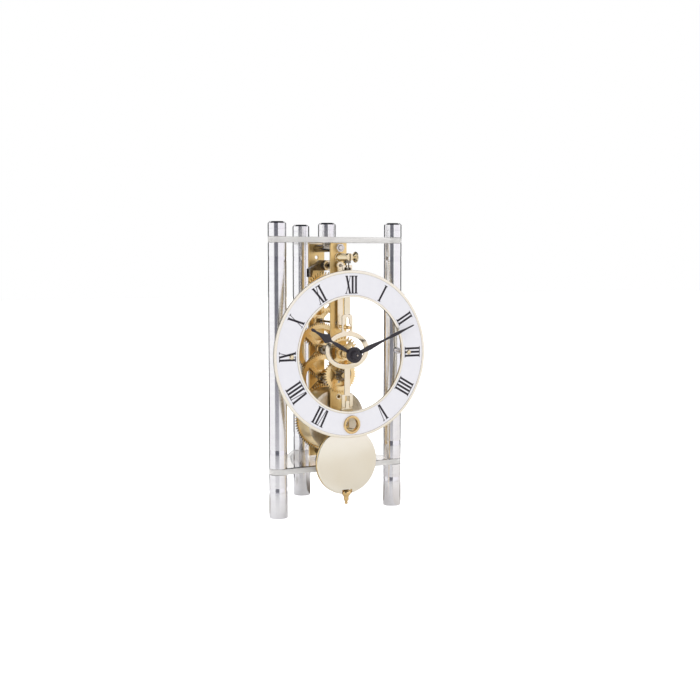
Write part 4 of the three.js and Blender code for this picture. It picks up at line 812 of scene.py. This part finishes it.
def make_bob():
    size = width("bob") / 2
    z = top("bob") - math.sqrt(size * size - ROD_ROOM * ROD_ROOM)
    plane = middle("rating_nut", "y")
    rear, face = back("bob"), front("bob")
    edge = face - BOB_CROWN
    piece = turn("bob_disc", [
        (0, rear), *((size - inward, rear + rise) for inward, rise in BOB_BACK),
        *((size - inward, edge - drop) for inward, drop in BOB_FRONT),
        *(((size - BOB_RIM) * share, edge + BOB_CROWN * (1 - share * share)) for share in BOB_DOME),
    ], facing_at(0, z), bob_brass, wheel_brass, steps=160)
    nut = width("rating_nut") / 2 + ROOM
    low, high = z - 2 * size, z + 2 * size
    channel = block((-ROD_ROOM, plane - ROD_DEEP, low), (ROD_ROOM, plane + ROD_DEEP, high))
    notch = block((-nut, POST_LINE - face - 2 * THROUGH, low),
                  (nut, POST_LINE - rear + 2 * THROUGH, top("rating_nut") + SEAT))
    bore(piece, channel, notch)
    second_finish_of_sides(piece)
    stands_for(piece, "bob")


RATING_BALL = 1.1
# The stem between ball and dome: radii and heights above the tip
RATING_STEM = ((1.0, 2.3), (1.45, 2.75), (1.75, 3.2), (1.72, 3.8), (1.6, 4.5), (1.75, 5.3), (2.3, 6.2),
               (3.1, 7.2))
# The dome, in shares of the nut's height; below 1, its shoulder is squarer than a round one
RATING_DOME_DEEP = 0.24
RATING_DOME_RISE = 0.235
RATING_MOUTH = 0.02
RATING_SHOULDER = 0.8
RATING_DOME_DEGREES = range(0, 66, 13)
RATING_BORE = 1.25
RATING_BORE_DEEP = 7.6


def make_rating_nut():
    low, high = span("rating_nut", "z")
    size = width("rating_nut") / 2
    tall = high - low
    dome = [(size * math.cos(a) ** RATING_SHOULDER,
             high - tall * RATING_DOME_DEEP + tall * RATING_DOME_RISE * math.sin(a))
            for a in map(math.radians, RATING_DOME_DEGREES)]
    floor = high - RATING_BORE_DEEP
    nut = turn("rating_nut_turned", [
        *arc(RATING_BALL, 0, low + RATING_BALL, -90, 45, 9),
        *((radius, low + rise) for radius, rise in RATING_STEM), *dome,
        (RATING_BORE, high - tall * RATING_MOUTH), (RATING_BORE, floor), (0, floor),
    ], upright_at(0, middle("rating_nut", "y")), turned_brass, steps=64)
    stands_for(nut, "rating_nut")


# The movement's turned pieces: spring barrel, suspension knob, anchor collar and plate bushes

DRUM_WALL = 1.2
DRUM_BORE = 2.25
DRUM_RIM = 3.0
DRUM_HUB = 7.0
DRUM_STEP = 0.2
DRUM_EASE = 0.5


def make_barrel():
    size = width("barrel_drum") / 2
    rear, face = back("barrel_drum"), front("barrel_drum")
    inside, lid = size - DRUM_WALL, size - DRUM_RIM
    drum = turn("barrel_drum_turned", [
        (inside, rear), (size, rear), (size, face - DRUM_EASE), (size - EDGE_EASE, face - EDGE_EASE),
        (size - DRUM_EASE, face), (lid, face), (lid - DRUM_STEP, face - DRUM_STEP),
        (DRUM_HUB, face - DRUM_STEP), (DRUM_HUB - DRUM_STEP, face), (DRUM_BORE, face),
        (DRUM_BORE, face - DRUM_WALL), (inside, face - DRUM_WALL),
    ], facing_at(*BARREL_CENTRE), barrel_metal, barrel_brass, closed=True, steps=128)
    second_finish_of_sides(drum)
    stands_for(drum, "barrel_drum")


KNOB_SCREW = 0.8
KNOB_POINT = 0.2
KNOB_SINK = 0.3
# The knob's collar and waist: radii and distances from the post's side
KNOB_NECK = ((1.9, 0), (2.0, 0.1), (2.0, 0.4), (1.65, 0.75), (1.6, 1.0), (1.85, 1.4), (2.5, 2.0),
             (2.95, 2.35))
KNOB_RIM = 0.7
KNOB_RIM_IN = 1.2
KNOB_CROWN = 0.45
KNOB_CROWN_SHARES = (0.75, 0.5, 0.25, 0)


def make_knob():
    node = "suspension_knob"
    tip, end = span(node, "x")
    size = width(node, "z") / 2
    neck = width("suspension_post") / 2 - KNOB_SINK
    place = Matrix.Translation(Vector((0, middle(node, "y"), middle(node, "z"))) * MM) @ TO_RIGHT
    knob = turn("suspension_knob_turned", [
        (0, tip), (KNOB_SCREW - KNOB_POINT, tip), (KNOB_SCREW, tip + KNOB_POINT), (KNOB_SCREW, neck),
        *((radius, neck + out) for radius, out in KNOB_NECK),
        *arc(KNOB_RIM, size - KNOB_RIM, end - KNOB_RIM_IN, -90, 60, 10),
        *((size * share, end - KNOB_CROWN * share * share) for share in KNOB_CROWN_SHARES),
    ], place, stud_brass, steps=72)
    stands_for(knob, node)


COLLAR_BORE = 1.1
COLLAR_RADIUS = 3.6
COLLAR_LONG = 3.05
COLLAR_EASE = 0.2
# The steel boss before the collar: radii and distances before the anchor
COLLAR_BOSS = ((2.4, 0.05), (2.4, 0.7), (2.2, 0.85), (1.75, 0.85), (1.7, 0.5), (1.45, 0.5), (1.4, 1.3))


def make_anchor_collar():
    face = front("anchor")
    seat, end = face - COLLAR_LONG, face + SEAT
    place = facing_at(*PALLET_CENTRE)
    collar = turn("anchor_collar_turned", [
        (COLLAR_BORE, seat), (COLLAR_RADIUS, seat), (COLLAR_RADIUS, face - COLLAR_EASE),
        (COLLAR_RADIUS - COLLAR_EASE, end), (COLLAR_BORE, end),
    ], place, pale_brass, closed=True, steps=64)
    goes_with(collar, "anchor")
    boss = turn("anchor_boss_turned", [
        (COLLAR_BORE, end), *((radius, face + out) for radius, out in COLLAR_BOSS),
        (COLLAR_BORE, face + COLLAR_BOSS[-1][1]),
    ], place, arbor_steel, closed=True, steps=64)
    goes_with(boss, "anchor")


# Teeth of each wheel; how deep they are cut and how far their feet stand from their middles, in pitches
WHEEL_TEETH = {"great_wheel": 80, "intermediate_wheel": 68, "centre_wheel": 72, "third_wheel": 60,
               "minute_wheel": 40, "hour_wheel": 30}
TOOTH_DEEP = 0.89
TOOTH_HALF_FOOT = 0.31
# Tips and feet lie at least this far apart, in mm; points of one plane lie closer than this, in metres
TIP_APART = 0.1
ONE_PLANE = 1e-6


def slim_teeth(work, node):
    """Draws the feet of a wheel's teeth in towards its axis, so that the gaps show from afar."""
    pitch = 2 * math.pi / WHEEL_TEETH[node]
    axis = Vector((middle(node, "x"), middle(node, "z"))) * MM
    arms = {vert: vert.co.xz - axis for vert in work.verts}
    tip = max(arms.values(), key=lambda arm: arm.length)
    foot = max(arm.length for arm in arms.values() if arm.length < tip.length - TIP_APART * MM)
    first = math.atan2(tip.y, tip.x)
    reach = tip.length * (1 - TOOTH_DEEP * pitch)
    for vert, arm in arms.items():
        if abs(arm.length - foot) < TIP_APART * MM:
            turns = (math.atan2(arm.y, arm.x) - first) / pitch
            tooth = round(turns)
            angle = first + (tooth + math.copysign(TOOTH_HALF_FOOT, turns - tooth)) * pitch
            vert.co.xz = axis + Vector((math.cos(angle), math.sin(angle))) * reach
    # Both flat sides are filled again inside their new outline
    tips = [vert.co.y for vert, arm in arms.items() if arm.length > tip.length - TIP_APART * MM]
    for plane in (min(tips), max(tips)):
        flat = {face for face in work.faces if all(abs(vert.co.y - plane) < ONE_PLANE for vert in face.verts)}
        outline = [edge for edge in work.edges if len(flat.intersection(edge.link_faces)) == 1]
        bmesh.ops.delete(work, geom=list(flat), context="FACES")
        bmesh.ops.triangle_fill(work, use_beauty=True, edges=outline)
    bmesh.ops.recalc_face_normals(work, faces=work.faces)


# Eased edges of the movement's pieces, in mm
PLATE_EASE = 0.15
ROD_EASE = 0.14
STUD_EASE = 0.12
BLADE_EASE = 0.08
FINE_EASE = 0.06
NUT_CORNER = 0.2
# The steel dot left in the middle of the centre arbor's end, in mm: a painted highlight on its blacked tip
TIP_HIGHLIGHT_DOT = 0.6
CRUTCH_PIN_LONG = 13.1
MOTION_THICKNESS = 1.3


def make_centre_arbor():
    """The arbor is blacked where it shows through the hands; the steel left bare in the middle of its end is
    a painted highlight.
    """
    node = "centre_arbor"
    piece = refine(node, FINE_EASE, arbor_steel, hand_black)
    end = span(node, "y")[0]
    second_finish(piece, (end - SEAT, span("minute_hand", "y")[1]), axis="y")
    work = bmesh.new()
    work.from_mesh(piece.data)
    tip = min(work.faces, key=lambda face: face.calc_center_median().y)
    ring = max(vert.co.x for vert in tip.verts) - TIP_HIGHLIGHT_DOT * MM
    bmesh.ops.inset_individual(work, faces=[tip], thickness=ring)
    tip.material_index = 0
    work.to_mesh(piece.data)
    work.free()


BUSH_TALL = 0.12
BUSH_EASE = 0.1
BUSH_SIDE = 0.06
OIL_SINK = 0.35
OIL_SINK_FLOOR = 0.04
# Bore and outside of the bushes for pivots and of the one above the barrel
PIVOT_BUSH = (0.95, 2.4)
BARREL_BUSH = (1.3, 2.0)
BARREL_BUSH_RISE = 16.77


def make_bush(name, z, hole, size):
    face = front("front_plate")
    crown = face + BUSH_TALL
    bush = turn(name, [
        (hole, face), (size, face), (size, face + BUSH_SIDE), (size - BUSH_EASE, crown),
        (hole + OIL_SINK, crown), (hole, face + OIL_SINK_FLOOR),
    ], facing_at(0, z), pale_brass, closed=True, steps=48)
    goes_with(bush, "front_plate")


for side in POSTS:
    make_leg(side)
    make_column(side)
    make_cap(side)
make_hanger_cap()
make_shelf("top_plate")
make_shelf("base_plate")
make_dial()
make_numerals()
make_eyelet()
for side in DIAL_SIDES:
    make_dial_fixing(side)
make_hands()
make_leader()
make_bob()
make_rating_nut()
make_barrel()
make_knob()
make_anchor_collar()
make_centre_arbor()
make_bush("escape_bush", middle("escape_arbor", "z"), *PIVOT_BUSH)
make_bush("third_bush", middle("third_arbor", "z"), *PIVOT_BUSH)
make_bush("oil_bush", middle("winding_eyelet", "z") + BARREL_BUSH_RISE, *BARREL_BUSH)

for node in ("front_plate", "back_plate"):
    refine(node, PLATE_EASE, strip_brass)
refine("bob_rod", ROD_EASE, pale_brass)
for node in ("suspension_post", "minute_wheel_stud"):
    refine(node, STUD_EASE, stud_brass)
for node in ("anchor", "suspension_chops", "suspension_spring"):
    refine(node, BLADE_EASE, anchor_steel)
# The pillars' ends before the front plate are plated like their nuts
plate_face = span("front_plate", "y")[0]
for node in ("top_pillar", "bottom_pillar"):
    pillar = refine(node, STUD_EASE, arbor_steel, bright_steel)
    second_finish(pillar, (span(node, "y")[0], plate_face), axis="y")
for node in ("top_pillar_nut", "bottom_pillar_nut"):
    refine(node, NUT_CORNER, bright_steel)
crutch = refine("crutch", ROD_EASE, pale_brass, turned_brass)
pin_end = span("crutch", "y")[0]
second_finish(crutch, (pin_end - SEAT, pin_end + CRUTCH_PIN_LONG), axis="y")
for node in ("winding_arbor", "base_screw", "pallet_arbor", "click", "click_stud"):
    refine(node, FINE_EASE, arbor_steel)
for node in ("escape_wheel", "cannon_pinion"):
    refine(node, FINE_EASE, wheel_brass, segments=1)
for node in ("great_wheel", "intermediate_wheel", "centre_wheel", "third_wheel", "hour_wheel"):
    refine(node, FINE_EASE, wheel_brass, segments=1, reshape=slim_teeth)
# The minute wheel's pinion is steel
minute_wheel = refine("minute_wheel", FINE_EASE, wheel_brass, anchor_steel, segments=1, reshape=slim_teeth)
pinion_front, wheel_rear = span("minute_wheel", "y")
second_finish(minute_wheel, (pinion_front - SEAT, wheel_rear - MOTION_THICKNESS - SEAT), axis="y")

paint(arbor_steel, "intermediate_arbor", "third_arbor", "escape_arbor", "ratchet_wheel")
paint(anchor_steel, "mainspring")


# Studio: white surround, pale floor, soft light, and screens and papers that only polished metal mirrors

FLOOR_REACH = 4.0
FLOOR_LAMP = 2.5


def matt(name, pale, deep, grain):
    """Cloth or paper without any shine."""
    return surface(name, pale, deep, 0.8, 0.95, (grain, grain, grain), 0.1, {"Specular IOR Level": 0.0})


scene.view_settings.view_transform = "Standard"
scene.world = bpy.data.worlds.new("studio_surround")
scene.world.use_nodes = True
surround = scene.world.node_tree.nodes["Background"]
surround.inputs["Color"].default_value = to_linear("#FFFFFF")
surround.inputs["Strength"].default_value = 1.0

floor_paper = surface("pale_floor_paper", "#F9F9FA", "#F6F6F8", 0.7, 0.85, (400, 400, 400), 0.01,
                      {"Specular IOR Level": 0.1})
# Dyed cotton screen cloth: a soft mid grey
screen_cloth = matt("grey_screen_cloth", "#6C6D74", "#606169", 50)
# Undyed muslin for the soft side screen: a faint lilac white
muslin = matt("lilac_muslin_screen", "#F9F6FB", "#F5F2F7", 50)
# Matt table papers as the polished posts mirror them: a pale lilac grey, and a darker grey before the camera
table_paper = matt("lilac_table_paper", "#F4F3F4", "#F0EFF0", 200)
path_paper = matt("grey_table_paper", "#B4B2BA", "#ACAAB2", 200)
# To the right of the clock the table lies in a warm grey shade, painted as a paper that only polished metal
# mirrors
shade_paper = matt("shaded_table_paper", "#EAE6E2", "#E2DEDA", 200)
# Behind the front feet the table falls into a brown shade, painted here as brown paper that only polished
# metal mirrors
foot_shade_paper = matt("brown_foot_shade_paper", "#857B72", "#7B7168", 200)
# Black duvetyne for the flags, and for the painted shade lying on the table behind the clock
flag_and_shade_cloth = matt("black_flag_and_shade_cloth", "#26262C", "#1E1E22", 50)


def make_floor():
    """The floor and the lamp that brightens it alone, so that nothing on it casts a hard shadow."""
    work = bmesh.new()
    bmesh.ops.create_grid(work, x_segments=2, y_segments=2, size=FLOOR_REACH)
    floor = make_piece("studio_floor", work, floor_paper)
    floor.visible_diffuse = False
    floor.visible_glossy = False
    lit = bpy.data.collections.new("floor_lamp_reach")
    lit.objects.link(floor)
    lamp = bpy.data.lights.new("floor_lamp", "SUN")
    lamp.energy = FLOOR_LAMP
    holder = bpy.data.objects.new("floor_lamp", lamp)
    scene.collection.objects.link(holder)
    holder.light_linking.receiver_collection = lit
    holder.light_linking.blocker_collection = lit


def make_card(name, cloth, wide, tall, stand, near=1.0):
    """A card that shows only in polished surfaces; stand places it, and near narrows its upper end."""
    work = bmesh.new()
    bmesh.ops.create_grid(work, x_segments=1, y_segments=1, size=0.5)
    bmesh.ops.scale(work, vec=(wide, tall, 1), verts=work.verts)
    bmesh.ops.scale(work, vec=(near, 1, 1), verts=[vert for vert in work.verts if vert.co.y > 0])
    bmesh.ops.transform(work, matrix=stand, verts=work.verts)
    card = make_piece(name, work, cloth)
    card.visible_camera = False
    card.visible_diffuse = False
    card.visible_shadow = False
    card.visible_transmission = False


def lying(bearing, distance, height):
    """Flat, with its upper end towards the clock; bearings are degrees from the front towards the left."""
    return Matrix.Rotation(-math.radians(bearing), 4, "Z") @ Matrix.Translation((0, -distance, height))


def on_bearing(bearing, distance, height):
    """Upright, on such a bearing."""
    return lying(bearing, distance, height) @ TO_READER


# Bearings of the grey path by the camera and of the shade behind the clock
PATH = 36.5
BEHIND_LEFT = 166
BEHIND_RIGHT = -114
# Heights above the floor at which the table's papers lie, one over the other
UNDERMOST, SECOND, THIRD, UPPERMOST = 0.0002, 0.0004, 0.0006, 0.0008

# Sizes, distances and heights are in metres
make_floor()
make_card("screen_by_camera", screen_cloth, 0.76, 0.75, on_bearing(PATH, 0.85, 0.375))
make_card("screen_front_right", muslin, 1.4, 1.2, on_bearing(-35, 1.0, 0.6))
make_card("flag_behind_left", flag_and_shade_cloth, 0.8, 0.9, on_bearing(BEHIND_LEFT, 1.1, 0.45))
make_card("flag_behind_right", flag_and_shade_cloth, 0.8, 0.9, on_bearing(BEHIND_RIGHT, 1.1, 0.45))
make_card("table_paper", table_paper, 4.0, 4.0, lying(0, 0, UNDERMOST))
make_card("table_path", path_paper, 0.72, 0.60, lying(PATH, 0.55, SECOND), near=0.3)
# Black cloth lying on the table behind the clock: painted shade that only polished metal mirrors
make_card("table_shade_behind_left", flag_and_shade_cloth, 1.1, 1.0, lying(172, 0.6, SECOND), near=0.1)
make_card("table_shade_behind_right", flag_and_shade_cloth, 1.1, 1.0, lying(-120, 0.6, SECOND), near=0.1)
# Painted shade on the table to the right of the clock
make_card("table_shade_front_right", shade_paper, 0.42, 0.50, lying(-64, 0.30, THIRD))
# Brown papers behind the front feet are painted shade on the table
for name, side, bearing in (
    ("outer", "left", BEHIND_LEFT), ("inner", "right", BEHIND_LEFT), ("outer", "right", BEHIND_RIGHT),
):
    foot = upright_at(middle(f"leg_{side}", "x"), middle(f"leg_{side}", "y"))
    make_card(f"foot_shade_card_{name}_{side}", foot_shade_paper, 0.06, 0.07, foot @ lying(bearing, 0.045, UPPERMOST),
              near=0.2)
make_card("flag_overhead", flag_and_shade_cloth, 2.4, 2.4, Matrix.Translation((0, 0, 1.3)))

# The camera, found from the photograph's perspective; the picture is square
SENSOR = 36.0
LENS = 54.825
# Millimetres to the right of the clock's middle, behind its front posts and above the table
VIEWPOINT = (-320.63, -658.17, 174.14)
# Radians downwards from level, and round towards the right
LOOK_DOWN = 0.084
LOOK_RIGHT = 0.466
camera = bpy.data.cameras.new("camera")
camera.sensor_width = SENSOR
camera.lens = LENS
viewer = bpy.data.objects.new("camera", camera)
viewer.location = (Vector(VIEWPOINT) + Vector((0, POST_LINE, 0))) * MM
viewer.rotation_euler = (math.pi / 2 - LOOK_DOWN, 0, -LOOK_RIGHT)
scene.collection.objects.link(viewer)
scene.camera = viewer
